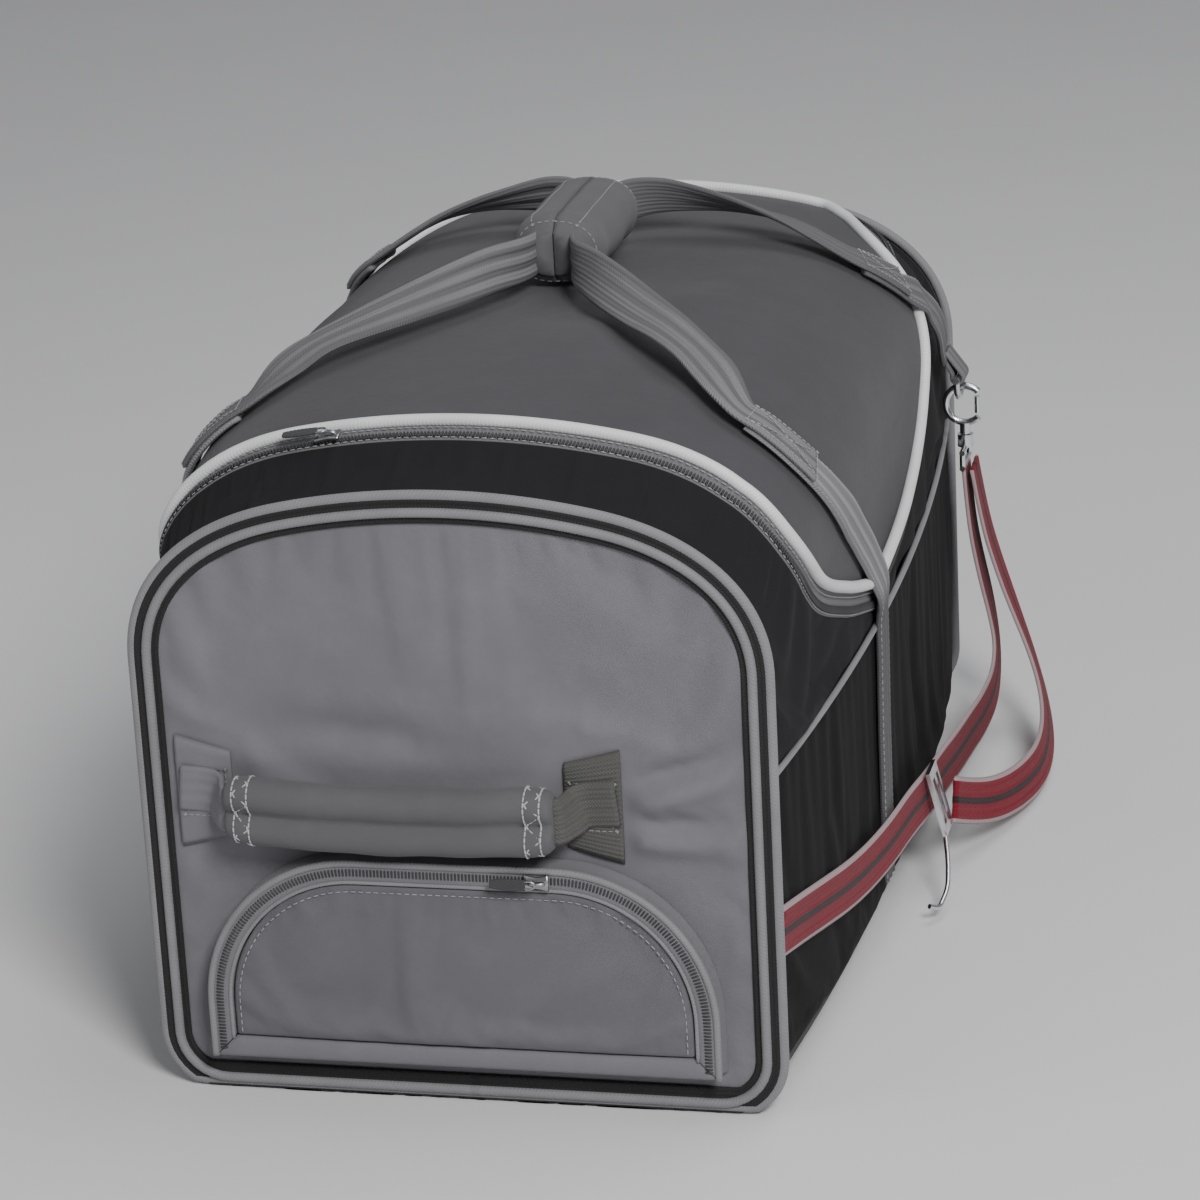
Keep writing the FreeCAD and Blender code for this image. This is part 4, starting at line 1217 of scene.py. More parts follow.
# Trim round an end panel: how far outside the outline, how far in front, its section and its finish.
END_TRIM = [(0.0022, -0.0006, round_shape(0.0029, 12), "grey_piping"),
            (-0.0062, 0.0022, round_shape(0.0026, 12), "grey_piping"),
            # The dark ribbon under the cords is a bound seam and painted shade: it shows as dark lines
            # between the cords and inside them.
            (-0.0050, 0.0008, ribbon_shape(0.0150, 0.0018, 2), "binding")]


def build_piping():
    """White cords along the arcs, grey double cords round the ends, thin cords along the side seams."""
    radius = sizes().cord
    for end, sy in ENDS.items():
        path, normals = skin_path(whole_arc(end, -0.0025), radius * 0.35)
        obj = sweep("%s_arc_cord" % end, path, round_shape(radius, 14), normals, material("white_piping"))
        ship(obj, "bag", "white_piping", end + "_arc_piping")
        cords = []
        level = sy * (HALF_LONG - END_SEAM)
        outline_q = np.linspace(-5, 5, 301)
        outline = profile(level, outline_q)
        out = skin_normal(level, outline_q)
        out[:, 1] = 0
        out /= np.linalg.norm(out, axis=1, keepdims=True)
        for grow, y, shape, finish in END_TRIM:
            path = outline + out * grow
            path[:, 1] = sy * (HALF_LONG + y)
            path[:, 2] = np.maximum(path[:, 2], shape[:, 0].max() + OFF_FLOOR)
            path = evenly(path, step=0.005)
            cords.append(sweep("end_trim", path[:-1], shape, (0, sy, 0), material(finish), closed=True))
        piece = joined("end_cords_" + end, cords)
        ship(piece, "bag", "grey_piping", "end_piping_" + end)
    for side, sx in SIDES.items():
        y = np.linspace(-HALF_LONG + 0.007, HALF_LONG - 0.007, 120)
        yq = np.stack([y, sx * q_at_height(y, np.full(y.shape, SEAM_Z - 0.0015))], -1)
        path, normals = skin_path(yq, 0.0006)
        obj = sweep("seam_cord_" + side, path, round_shape(SEAM_CORD, 10), normals, material("grey_piping"))
        ship(obj, "bag", "grey_piping", "side_seam_" + side)


def build_zips():
    """Zip tapes as woven strips, a row of nylon teeth along each, and a stitch line each side."""
    for end in ENDS:
        inner, outer = arc_pair(end, 0.0005, TAPE, 220)
        t = np.linspace(0, 1, 9)[None, :, None]
        yq = inner[:, None] * (1 - t) + outer[:, None] * t
        y = yq[..., 0]
        q = yq[..., 1]
        groove = -0.0009 + 0.0007 * np.cos(t[..., 0] * 4 * math.pi)
        points = profile(y, q) + skin_normal(y, q) * groove[..., None]
        obj = grid_object("%s_tape" % end, points, material("tape"))
        thicken(obj, 0.0012, 1, -1, material("lining"))
        ship(obj, "bag", "zip_tape", end + "_zip_tape")
        path, normals = skin_path(whole_arc(end, 0.010), 0.0004, 0.003)
        teeth = teeth_along("%s_teeth" % end, path, normals)
        ship(teeth, "bag", "zip_coil", end + "_zip_coil")
        for label, grow in (("inner", 0.0032), ("outer", TAPE - 0.0012)):
            path, normals = skin_path(whole_arc(end, grow), 0.0001, 0.003)
            ship(sewing("%s_%s_stitches" % (end, label), path, normals, SEAM_THREAD), "bag", "zip_tape")


def slider_mesh(name, long, wide, high, metal):
    """A zip slider: a waisted body, a bridge over it and a small lug."""
    outline = []
    for t in np.linspace(-1, 1, 15):
        outline.append((t * long / 2, wide / 2 * (0.72 + 0.28 * abs(t) ** 1.5)))
    rim = outline + [(x, -w) for x, w in outline[::-1]]
    rings = []
    for z, size in ((0, 0.90), (0.0006, 1.0), (high * 0.42, 1.0), (high * 0.55, 0.88)):
        rings.append([(x * size, w * size, z) for x, w in rim])
    verts = np.array([v for ring in rings for v in ring])
    faces = capped_faces(len(rings), len(rim))
    body = tidy_normals(mesh_object(name + "_body", verts, faces, verts[:, :2], metal))
    angles = np.linspace(0, math.pi, 15)
    bridge = np.stack([np.cos(angles) * long * 0.34, 0 * angles, high * 0.45 + np.sin(angles) * high * 0.55],
                      -1)
    arch = sweep(name + "_bridge", bridge, round_shape(0.0009, 10, 1.3), (0, 1, 0), metal)
    return joined(name, [body, arch])


def puller_mesh(name, long, wide, thick, metal, cord):
    """A pull: a wire loop at the pivot and a moulded grip with ridges, lying along -X from the pivot."""
    loop_long = long * 0.3
    angles = np.linspace(0, 2 * math.pi, 25)[:-1]
    loop = np.stack([-loop_long / 2 + np.cos(angles) * loop_long / 2, np.sin(angles) * wide * 0.32,
                     0 * angles + thick / 2], -1)
    wire = sweep(name + "_wire", loop, round_shape(0.0006, 8), (0, 0, 1), metal, closed=True)
    x = np.linspace(0, 1, 27)
    waist = wide / 2 * (0.55 + 0.45 * np.sin(math.pi * np.clip(x * 0.85 + 0.15, 0, 1)) ** 0.5)
    ridge = 1 + 0.18 * np.cos(x * 9 * 2 * math.pi) * (x > 0.15) * (x < 0.9)
    path = np.stack([-loop_long * 0.7 - x * (long - loop_long * 0.7), 0 * x, 0 * x + thick / 2], -1)
    shape = ribbon_shape(1.0, 1.0, 1, 0.0, 13)
    rings = []
    for at, half, bulge in zip(path, waist, ridge):
        high = at[2] + shape[:, 1] * thick * 0.9 * bulge
        rings.append(np.stack([np.full(len(shape), at[0]), shape[:, 0] * 2 * half, high], -1))
    verts = np.array(rings).reshape(-1, 3)
    faces = capped_faces(len(rings), len(shape))
    grip = tidy_normals(mesh_object(name + "_grip", verts, faces, verts[:, :2], cord))
    return joined(name, [wire, grip])


# A slider's and a pull's length, width and height, the pivot's height over the slider's base, and how far the
# pull's underside lies below the pivot.
SLIDER = (0.013, 0.009, 0.004)
PULL = (0.024, 0.007, 0.0016)
PIVOT_HIGH = 0.0052
PULL_UNDER = 0.0008


def slider_and_pull(slider_name, pull_name, slider_place, pull_place):
    """One zip's slider and its pull, each laid where its matrix says."""
    metal = material("zip_metal")
    slider = slider_mesh(slider_name, *SLIDER, metal)
    slider.data.transform(slider_place)
    pull = puller_mesh(pull_name, *PULL, metal, material("puller"))
    pull.data.transform(pull_place)
    return slider, pull


def build_pulls():
    """Sliders and pulls of the two main zips and the pocket's zip."""
    joints = {j["name"]: j for j in frame["joints"]}
    for end in ENDS:
        run = joints[end + "_zip_run"]
        flip = joints[end + "_zip_pull_flip"]
        centre = Vector(run["pos_m"])
        pivot = Vector(flip["pos_m"])
        across = Vector(flip["axis"])
        across *= 1 if across.y > 0 else -1
        swing = math.atan2(centre.x - pivot.x, pivot.z - centre.z)
        ahead = Vector((math.cos(swing), 0, math.sin(swing)))
        out = ahead.cross(across)
        turn = Matrix((ahead, across, out)).transposed().to_4x4()
        slider, pull = slider_and_pull(end + "_slider", end + "_pull",
                                       Matrix.Translation(pivot - out * PIVOT_HIGH) @ turn,
                                       Matrix.Translation(pivot - out * PULL_UNDER) @ turn)
        ship(slider, end + "_zip_runner", "zip_metal", end + "_zip_slider")
        ship(pull, end + "_zip_pull", "puller_cord", end + "_zip_puller")
    turn = Matrix.Rotation(math.pi / 2, 4, "X")
    lo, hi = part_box("pocket_slider")
    pull_lo, pull_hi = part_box("pocket_puller")
    slider_at = ((lo.x + hi.x) / 2, hi.y, (lo.z + hi.z) / 2)
    pull_at = (pull_hi.x, pull_hi.y, (pull_lo.z + pull_hi.z) / 2)
    slider, pull = slider_and_pull("pocket_runner_piece", "pocket_pull_piece",
                                   Matrix.Translation(slider_at) @ turn, Matrix.Translation(pull_at) @ turn)
    ship(slider, "pocket_runner", "zip_metal", "pocket_slider")
    ship(pull, "pocket_pull", "puller_cord", "pocket_puller")


# ---------------------------------------------------------------- end pocket
# The pocket: its corner radius, its wall's section from the end panel outwards (share of its depth, inset),
# its cloths' thickness, the insets of its teeth, cover and sewing, and its cords (name, inset, radius).
POCKET_CORNER = 0.084
POCKET_WALL = [(0.0, -0.0015), (0.25, 0.0002), (0.6, 0.0008), (0.92, 0.0002), (1.0, 0.0016), (1.0, 0.0100),
               (0.93, 0.0118), (0.2, 0.0120)]
POCKET_CLOTH = 0.0014
COVER_CLOTH = 0.0022
TEETH_INSET = 0.0055
COVER_INSET = 0.0126
SEWING_INSET = 0.0165
POCKET_CORDS = [("outer", 0.0005, 0.0019), ("inner", 0.0112, 0.0011)]


def d_outline(inset, count=26):
    """The pocket's D outline: up the left side, over two round corners, down the right side (x, z)."""
    lo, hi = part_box("pocket_rim")
    half = hi.x - inset
    low = lo.z + inset
    high = hi.z - inset
    corner = POCKET_CORNER - inset
    angles = np.linspace(0, math.pi / 2, count)
    left = np.stack([-half + corner - np.cos(angles) * corner, high - corner + np.sin(angles) * corner], -1)
    points = np.vstack([[(-half, low)], left, left[::-1] * np.array([-1, 1]), [(half, low)]])
    return evenly(points, count=140)


def d_path(inset, y):
    """The pocket's outline as points at one y."""
    edge = d_outline(inset)
    return np.stack([edge[:, 0], np.full(len(edge), y), edge[:, 1]], -1)


def build_pocket():
    """End pocket: gathered wall, taped rim, teeth round it and a domed cover."""
    lo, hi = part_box("pocket_rim")
    face = lo.y
    wall = hi.y
    rings = []
    for depth, inset in POCKET_WALL:
        rings.append(d_path(inset, wall + (face - wall) * depth))
    points = np.array(rings)
    ripple = waves(points, 71, 0.035) * 0.0007
    points[1:4, :, 1] += ripple[1:4]
    points[1:4, :, 2] += ripple[1:4]
    inside = (0, -0.322, 0.08)
    obj = grid_object("pocket_wall", points, material("end_cloth"), out_from=inside)
    foot = np.array([np.linspace(ring[-1], ring[0], 40) for ring in points])
    floor = grid_object("pocket_foot", foot, material("end_cloth"), out_from=inside)
    thicken(obj, POCKET_CLOTH, 1, 0)
    thicken(floor, POCKET_CLOTH, 1, 0)
    piece = joined("pocket_wall_piece", [obj, floor])
    ship(piece, "bag", "pocket_binding", "pocket_rim")
    teeth = teeth_along("pocket_teeth", d_path(TEETH_INSET, face - 0.0004), (0, -1, 0))
    ship(teeth, "bag", "zip_coil", "pocket_zip")
    cords = []
    for label, inset, radius in POCKET_CORDS:
        path = d_path(inset, face + 0.0002)
        cords.append(sweep("pocket_cord_" + label, path, round_shape(radius, 10), (0, -1, 0),
                           material("grey_piping")))
    ship(joined("pocket_cords", cords), "bag", "pocket_binding")
    lo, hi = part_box("pocket_flap")
    edge = d_outline(COVER_INSET)
    quarter = 34
    left = edge[:quarter]
    top = edge[quarter - 1:len(edge) - quarter + 1]
    right = edge[::-1][:quarter]
    bottom = np.linspace(left[0], right[0], len(top))
    flat = coons(bottom, top, left, right)
    rows, cols = flat.shape[:2]
    u = np.linspace(-1, 1, cols)[None, :]
    v = np.linspace(0, 1, rows)[:, None]
    dome = (1 - u ** 4) * np.sin(math.pi * np.clip(v * 0.96 + 0.02, 0, 1)) ** 0.6
    cover = np.stack([flat[..., 0], np.full((rows, cols), lo.y + 0.001), flat[..., 1]], -1)
    lift = dome * 0.0045 + dome * waves(cover, 81, 0.09) * 0.0016
    lift += dome * fold(cover, (0.02, lo.y, 0.055), (0.11, lo.y, 0.10), 0.010, 0.002)
    lift += dome * fold(cover, (-0.10, lo.y, 0.05), (-0.02, lo.y, 0.075), 0.012, -0.002)
    cover[..., 1] -= lift
    obj = grid_object("pocket_cover", cover, material("pocket_cloth"), out_from=(0, 0, 0.08))
    settle(obj, edge_indices(rows, cols), growth=0.010, gravity=0.3, cap=0.003, bend=1.0)
    thicken(obj, COVER_CLOTH, 1, -1, material("lining"))
    ship(obj, "pocket_door", "pocket_cloth", "pocket_flap")
    row = sewing("pocket_stitches", d_path(SEWING_INSET, lo.y - 0.0002), (0, -1, 0), SEAM_THREAD)
    ship(row, "pocket_door", "pocket_cloth")


# ---------------------------------------------------------------- grab handles
# A grip's mesh, where its seams run along it, and its sewing's pitch.
GRIP_ROUND = 48
GRIP_ROWS = 64
GRIP_SEAMS = [(0.030, 0.085), (0.915, 0.970)]
GRIP_PITCH = 0.0032


def grip_points(lo, hi, seed):
    """Rings of a padded grip of two lobes, one over the other, drawn in at its ends and sagging a little."""
    middle = (lo + hi) / 2
    angles = np.arange(GRIP_ROUND) * 2 * math.pi / GRIP_ROUND
    high = np.sin(angles)
    lobe = np.sqrt(np.clip(1 - ((np.abs(high) - 0.5) / 0.5) ** 2, 0, 1))
    deep = (lobe ** 4 + (0.50 * np.abs(np.cos(angles))) ** 4) ** 0.25 * np.sign(np.cos(angles))
    rings = []
    for t in np.linspace(0, 1, GRIP_ROWS):
        x = lo.x + (hi.x - lo.x) * t
        near = min(t, 1 - t)
        ease = 1 - 0.25 * max(0.0, 1 - near * 24) ** 2 - 0.05 * math.exp(-((near - 0.035) / 0.012) ** 2)
        sag = 0.0035 * math.sin(math.pi * t)
        rings.append(np.stack([np.full(GRIP_ROUND, x), middle.y + deep * (hi.y - lo.y) / 2 * ease,
                               middle.z + high * (hi.z - lo.z) / 2 * ease - sag], -1))
    points = np.array(rings)
    return points + (waves(points, seed, 0.045) * 0.0006)[..., None] * np.array([0, 1, 1])


def grip_sewing(points, middle_y):
    """Two seams round each end of a grip, with a zigzag between them."""
    rings = []
    for t0, t1 in GRIP_SEAMS:
        near = points[round(t0 * (GRIP_ROWS - 1))]
        far = points[round(t1 * (GRIP_ROWS - 1))]
        zigzag = np.where((np.arange(GRIP_ROUND) // 3 % 2 == 0)[:, None], near, far)[::3]
        for line in (near, far, zigzag):
            path = np.vstack([line, line[:1]])
            normals = path - np.array([path[0, 0], middle_y, path[:, 2].mean()])
            normals[:, 0] = 0
            rings.append(sewing("stitch_ring", path, normals, GRIP_THREAD, GRIP_PITCH, "light_thread",
                                lift=0.0003))
    return rings


def grip_tabs(lo, hi, end, sy):
    """The webbing from each end of a grip back to its patch on the end panel."""
    lo_w, hi_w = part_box("grab_webbing_" + end)
    level = (lo_w.z + lo_w.z + WEBBING) / 2
    core = (lo.y + hi.y) / 2
    wall = (hi_w.y if sy < 0 else lo_w.y) + sy * 0.0013
    tabs = []
    for sx in (-1, 1):
        edge = lo_w.x if sx < 0 else hi_w.x
        grip_edge = lo.x if sx < 0 else hi.x
        route = [(grip_edge - sx * 0.012, core, level), (grip_edge + sx * 0.002, core, level),
                 (grip_edge + sx * 0.007, (core + wall) / 2, level + 0.001),
                 (grip_edge + sx * 0.012, wall, level + 0.003), (edge, wall + sy * 0.0002, level + 0.005)]
        path = smooth_line(route, 30)
        finish = "end_cloth" if sx == sy else "patch_webbing"
        tabs.append(sweep("tab", path, ribbon_shape(WEBBING, WEBBING_THICK, 4), (sx * 0.3, sy, 0),
                          material(finish)))
    return tabs


def build_grabs():
    """End grab handles: a quilted two-ridge grip on webbing, hanging from stitched patches."""
    for end, sy in ENDS.items():
        body = "grab_handle_" + end
        lo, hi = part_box("grab_grip_" + end)
        points = grip_points(lo, hi, 91 + sy)
        uvs = rings_uv(points, hi.x - lo.x)
        faces = capped_faces(GRIP_ROWS, GRIP_ROUND)
        grip = mesh_object("grab_grip_piece_" + end, points.reshape(-1, 3), faces, uvs, material("padding"))
        ship(tidy_normals(grip), body, "grip_cloth", "grab_grip_" + end)
        ship(joined("grab_stitches_" + end, grip_sewing(points, (lo.y + hi.y) / 2)), body, "grip_cloth")
        ship(joined("grab_tabs_" + end, grip_tabs(lo, hi, end, sy)), body, "grey_webbing",
             "grab_webbing_" + end)
        for letter in "ab":
            node = "grab_patch_%s_%s" % (end, letter)
            seen_left = (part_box(node)[0].x < 0) == (sy < 0)
            build_patch(node, sy, "end_cloth" if seen_left else "patch_webbing")


def build_patch(node, sy, finish):
    """A webbing patch, narrower towards the grip, with folded edges and a boxed cross of stitches."""
    lo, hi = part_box(node)
    middle = (lo + hi) / 2
    outer, inner = (hi.x, lo.x) if middle.x > 0 else (lo.x, hi.x)
    path = np.stack([np.linspace(outer, inner, 20), np.full(20, middle.y), np.full(20, middle.z)], -1)
    path[:, 1] += sy * 0.0006 * np.sin(np.linspace(0, math.pi, 20))
    taper = np.linspace(1.0, 0.74, 20)
    patch = sweep(node + "_web", path, ribbon_shape(hi.z - lo.z, hi.y - lo.y, 7), (0, sy, 0),
                  material(finish), scales=taper)
    top = (hi.y if sy > 0 else lo.y) + sy * 0.0006
    x0, x1 = lo.x + 0.003, hi.x - 0.003
    z0, z1 = middle.z - 0.013, middle.z + 0.013
    box = [(x0, z0), (x1, z0), (x1, z1), (x0, z1), (x0, z0), (x1, z1), (x0, z1), (x1, z0)]
    rows = []
    for (ax, az), (bx, bz) in zip(box[:-1], box[1:]):
        line = np.array([(ax, top, az), (bx, top, bz)])
        rows.append(sewing("stitch", line, (0, sy, 0), PATCH_THREAD, 0.0036))
    ship(joined(node + "_piece", [patch] + rows), "bag", "patch_webbing", node)


# ---------------------------------------------------------------- webbing and carry handles
STRIP_TOP = 0.342
CORD_REACH = 0.012
STRIP_LIFT = 0.0026


def sewn_strip(name, route, sx, node, finish):
    """Webbing sewn to the skin along a side-view route, with two stitch lines."""
    line = smooth_line(route, 90)
    line = line[line[:, 1] < STRIP_TOP]
    q = sx * q_at_height(line[:, 0], line[:, 1])
    yq = np.stack([line[:, 0], q], -1)
    path, normals = skin_path(yq, STRIP_LIFT)
    near_cords = np.zeros(len(path))
    for end in ENDS:
        cord_points = on_surface(half_arc(end, 0.0) * np.array([1, sx]))
        gap = np.linalg.norm(path[:, None] - cord_points[None], axis=-1).min(1)
        near_cords = np.maximum(near_cords, np.exp(-(gap / CORD_REACH) ** 2))
    path = path + normals * (near_cords * STRIP_LIFT)[:, None]
    band = sweep(name, path, ribbon_shape(WEBBING, WEBBING_THICK, 3, 0.0009), normals, material(finish))
    pieces = [band]
    _, normal, across = frames_along(path, normals)
    for sign in (-1, 1):
        line = path + across * sign * (WEBBING / 2 - 0.0022) + normal * (WEBBING_THICK / 2 + 0.0003)
        pieces.append(sewing("stitch", line, normals, STRIP_THREAD))
    ship(joined(name + "_piece", pieces), "bag", finish, node)


def build_webbing():
    """Sewn webbing: down from each front foot past the band's tip, and below each rear foot."""
    for side, sx in SIDES.items():
        sewn_strip("side_strip_" + side, FRONT_STRIP, sx, "side_webbing_" + side, "side_webbing")
        sewn_strip("rear_strip_" + side, REAR_STRIP, sx, "rear_webbing_" + side, "carry_webbing")


# A carry handle between its feet on the right side: the webbing's middle line, its width's direction, and the
# points between which it bends from its sewn feet to its loose loop.
CARRY_ROUTE = [(0.117, -0.171, 0.3645), (0.104, -0.158, 0.372), (0.066, -0.116, 0.382),
               (0.030, -0.074, 0.390), (0.0125, -0.042, 0.391), (0.0125, 0.078, 0.391),
               (0.032, 0.096, 0.391), (0.070, 0.106, 0.384), (0.104, 0.110, 0.373), (0.118, 0.111, 0.366)]
CARRY_ACROSS = [(0.62, 0.76, 0.2), (0.72, 0.68, 0.1), (0.6, 0.6, 0.5), (0.3, 0.3, 0.9), (0, 0, 1),
                (0, 0, 1), (0.15, -0.35, 0.9), (0.1, -0.8, 0.55), (0.05, -0.97, 0.2), (0.05, -1, 0.1)]
FOOT_LIFT = 0.0056
FOOT_BELOW = (0.138, 0, 0.350)
FOOT_ABOVE = (0.114, 0, 0.368)


def foot_tail(strip, facing):
    """Where a handle's end lies on its sewn webbing: points, highest first, and the width's direction."""
    line = evenly(smooth_line(strip, 60), step=0.008)[1:6]
    y = line[:, 0]
    q = q_at_height(y, line[:, 1])
    normals = skin_normal(y, q)
    points = profile(y, q) + normals * FOOT_LIFT
    across = np.cross(np.gradient(points, axis=0) * facing, normals)
    return points, across / np.linalg.norm(across, axis=1, keepdims=True)


def carry_line(sx):
    """One handle's webbing from its front foot to its rear foot: points and normals."""
    front, front_across = foot_tail(FRONT_STRIP, -1)
    rear, rear_across = foot_tail(REAR_STRIP, 1)
    points = np.vstack([front[::-1], CARRY_ROUTE, rear])
    across = np.vstack([front_across[::-1], CARRY_ACROSS, rear_across])
    both = smooth_line(np.hstack([points, across * 0.02]), 260)
    path = both[:, :3] * np.array([sx, 1, 1])
    normals = np.cross(both[:, 3:] * np.array([sx, 1, 1]), np.gradient(path, axis=0)) * sx
    return path, normals


def boxed_cross(path, normals):
    """Stitches round a rectangle on webbing and along its two diagonals."""
    _, normal, across = frames_along(path, normals)
    edge = WEBBING / 2 - 0.003
    top = path + normal * (WEBBING_THICK / 2 + 0.0008)
    left = top + across * edge
    right = top - across * edge
    share = np.linspace(-1, 1, len(path))[:, None]
    lines = [(left, normal), (right, normal), (top + across * edge * share, normal),
             (top - across * edge * share, normal), (np.linspace(left[0], right[0], 6), normal[0]),
             (np.linspace(left[-1], right[-1], 6), normal[-1])]
    return [sewing("foot_stitches", line, facing, FOOT_THREAD, 0.0034) for line, facing in lines]


# The wrap: its rings, the points of its round side and of its flat one, how far it bulges past its packed
# width, and where its sewing runs round it and along it.
WRAP_ROWS = 56
WRAP_ROUND = 33
WRAP_FLAT = 9
WRAP_BULGE = 1.08
WRAP_SEAMS = (0.07, 0.93)
WRAP_COLUMNS = (5, 27)


def wrap_points(sx, lo, hi):
    """Rings of the round side of one half of the padded wrap."""
    half_high = (hi.z - lo.z) / 2
    middle_z = (lo.z + hi.z) / 2
    turns = np.linspace(-math.pi / 2, math.pi / 2, WRAP_ROUND)
    rings = []
    for t in np.linspace(0, 1, WRAP_ROWS):
        near = min(t, 1 - t)
        flare = 1 - 0.34 * math.exp(-(near / 0.045) ** 2) + 0.05 * math.exp(-((near - 0.15) / 0.06) ** 2)
        belly = 0.93 + 0.07 * math.sin(math.pi * t)
        x = np.cos(turns) ** 0.8 * (hi.x - lo.x) * WRAP_BULGE * belly * flare
        z = np.sin(turns) * half_high * belly * flare
        rings.append(np.stack([sx * x, np.full(WRAP_ROUND, lo.y + (hi.y - lo.y) * t), middle_z + z], -1))
    points = np.array(rings)
    puff = waves(points, 111 + sx, 0.05) * 0.0012
    points[..., 0] += puff * sx * np.cos(turns)[None, :]
    points[..., 2] += puff * np.sin(turns)[None, :]
    points[..., 0] += sx * 0.0003
    return points


def wrap_sewing(points, middle_z):
    """A seam round each end of the wrap, and one along its top and its bottom edge."""
    lines = [points[int(t * (WRAP_ROWS - 1))] for t in WRAP_SEAMS]
    lines += [points[3:-3, column] for column in WRAP_COLUMNS]
    rows = []
    for line in lines:
        normals = line - np.array([0, 0, middle_z])
        normals[:, 1] = 0
        rows.append(sewing("stitch", line, normals, WRAP_THREAD, 0.0042, lift=0.0001))
    return rows


def build_wrap(side, sx, body):
    """One half of the padded wrap, flat where it meets the other half."""
    lo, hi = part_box("handle_wrap_" + side)
    points = wrap_points(sx, lo, hi)
    flat_z = np.linspace(points[:, -1, 2], points[:, 0, 2], WRAP_FLAT + 2, axis=1)[:, 1:-1]
    flat_x = np.full(flat_z.shape, sx * 0.0004)
    flat = np.stack([flat_x, np.repeat(points[:, :1, 1], WRAP_FLAT, 1), flat_z], -1)
    rings = np.concatenate([points, flat], 1)
    uvs = rings_uv(rings, hi.y - lo.y)
    faces = capped_faces(WRAP_ROWS, rings.shape[1])
    wrap = tidy_normals(mesh_object("wrap_" + side, rings.reshape(-1, 3), faces, uvs, material("padding")))
    ship(wrap, body, "wrap_cloth", "handle_wrap_" + side)
    ship(joined("wrap_stitches_" + side, wrap_sewing(points, (lo.z + hi.z) / 2)), body, "wrap_cloth")


def build_carry():
    """Carry handles: ribbed webbing loops, sewn down at their feet, and the padded wrap of two halves."""
    for side, sx in SIDES.items():
        body = "carry_handle_" + side
        path, normals = carry_line(sx)
        loose = np.clip((path[:, 2] - FOOT_ABOVE[2]) / 0.01, 0, 1)
        path[:, 2] += waves(path, 101 + sx, 0.09) * 0.0012 * loose
        strap = sweep("carry_strap_" + side, path, ribbon_shape(WEBBING, WEBBING_THICK, 3, 0.0008), normals,
                      material("carry_webbing"))
        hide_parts("carry_webbing_" + side)
        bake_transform(strap)
        sewn = np.nonzero(path[:, 2] < FOOT_BELOW[2] - 0.004)[0]
        stitches = []
        for run in (sewn[sewn < len(path) // 2], sewn[sewn > len(path) // 2]):
            stitches += boxed_cross(path[run], normals[run])
        ship(joined("carry_feet_" + side, stitches), "bag", "carry_webbing")
        build_wrap(side, sx, body)


# ---------------------------------------------------------------- strap and metal
def build_metal():
    """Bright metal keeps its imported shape; the ring's tab becomes folded webbing."""
    for node in ("d_ring", "snap_hook", "hook_gate", "swivel_eye", "strap_glide", "strap_clip"):
        mesh = refinish(node, "chrome")
        mesh.polygons.foreach_set("use_smooth", [True] * len(mesh.polygons))
    lo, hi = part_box("ring_tab")
    ring_lo, ring_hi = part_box("d_ring")
    bar = Vector(((ring_lo.x + ring_hi.x) / 2, (ring_lo.y + ring_hi.y) / 2, ring_hi.z - 0.002))
    radius = 0.0036
    skin_x = float(profile(bar.y, q_at_height(bar.y, bar.z + 0.02))[0])
    angles = np.linspace(math.radians(150), math.radians(390), 26)
    bend = [(bar.x + math.cos(a) * radius, bar.y, bar.z + math.sin(a) * radius) for a in angles]
    top = bar.z + 0.016
    route = [(skin_x + 0.0015, bar.y, top)] + bend + [(skin_x + 0.0045, bar.y, top)]
    path = evenly(np.array(route), step=0.0012)
    tangents = np.gradient(path, axis=0)
    normals = np.cross(tangents, np.array([0.0, 1.0, 0.0]))
    tab = sweep("ring_tab_fold", path, ribbon_shape(0.022, 0.0020, 3), normals, material("carry_webbing"))
    ship(tab, "bag", "carry_webbing", "ring_tab")


STRAP_ROUTE = [
    (0.188, 0.255, 0.1771), (0.190, 0.256, 0.142), (0.195, 0.259, 0.110), (0.201, 0.262, 0.080),
    (0.206, 0.254, 0.055), (0.208, 0.226, 0.039), (0.206, 0.186, 0.036), (0.204, 0.142, 0.040),
    (0.202, 0.096, 0.044), (0.200, 0.050, 0.050), (0.198, 0.006, 0.054), (0.195, -0.040, 0.060),
    (0.192, -0.088, 0.063), (0.188, -0.136, 0.068), (0.184, -0.184, 0.076), (0.1785, -0.232, 0.086),
    (0.173, -0.272, 0.094), (0.1696, -0.309, 0.102),
]
SLACK_ROUTE = [
    (0.193, 0.256, 0.1771), (0.198, 0.260, 0.140), (0.206, 0.264, 0.108), (0.216, 0.264, 0.078),
    (0.228, 0.252, 0.052), (0.239, 0.226, 0.033), (0.246, 0.190, 0.022), (0.247, 0.150, 0.018),
    (0.241, 0.111, 0.019), (0.231, 0.074, 0.024), (0.220, 0.042, 0.034), (0.212, 0.016, 0.046),
]


def spline_points(name, route):
    """Points read from a smooth spline with the route's points as its control points."""
    curve = bpy.data.curves.new(name, "CURVE")
    curve.dimensions = "3D"
    line = curve.splines.new("NURBS")
    line.points.add(len(route) - 1)
    for point, at in zip(line.points, route):
        point.co = (*at, 1)
    line.order_u = 3
    line.use_endpoint_u = True
    line.resolution_u = 10
    holder = placed(name, curve)
    bpy.context.view_layer.update()
    graph = bpy.context.evaluated_depsgraph_get()
    mesh = bpy.data.meshes.new_from_object(holder.evaluated_get(graph))
    points = np.array([v.co for v in mesh.vertices], float)
    bpy.data.objects.remove(holder)
    bpy.data.curves.remove(curve)
    bpy.data.meshes.remove(mesh)
    return points


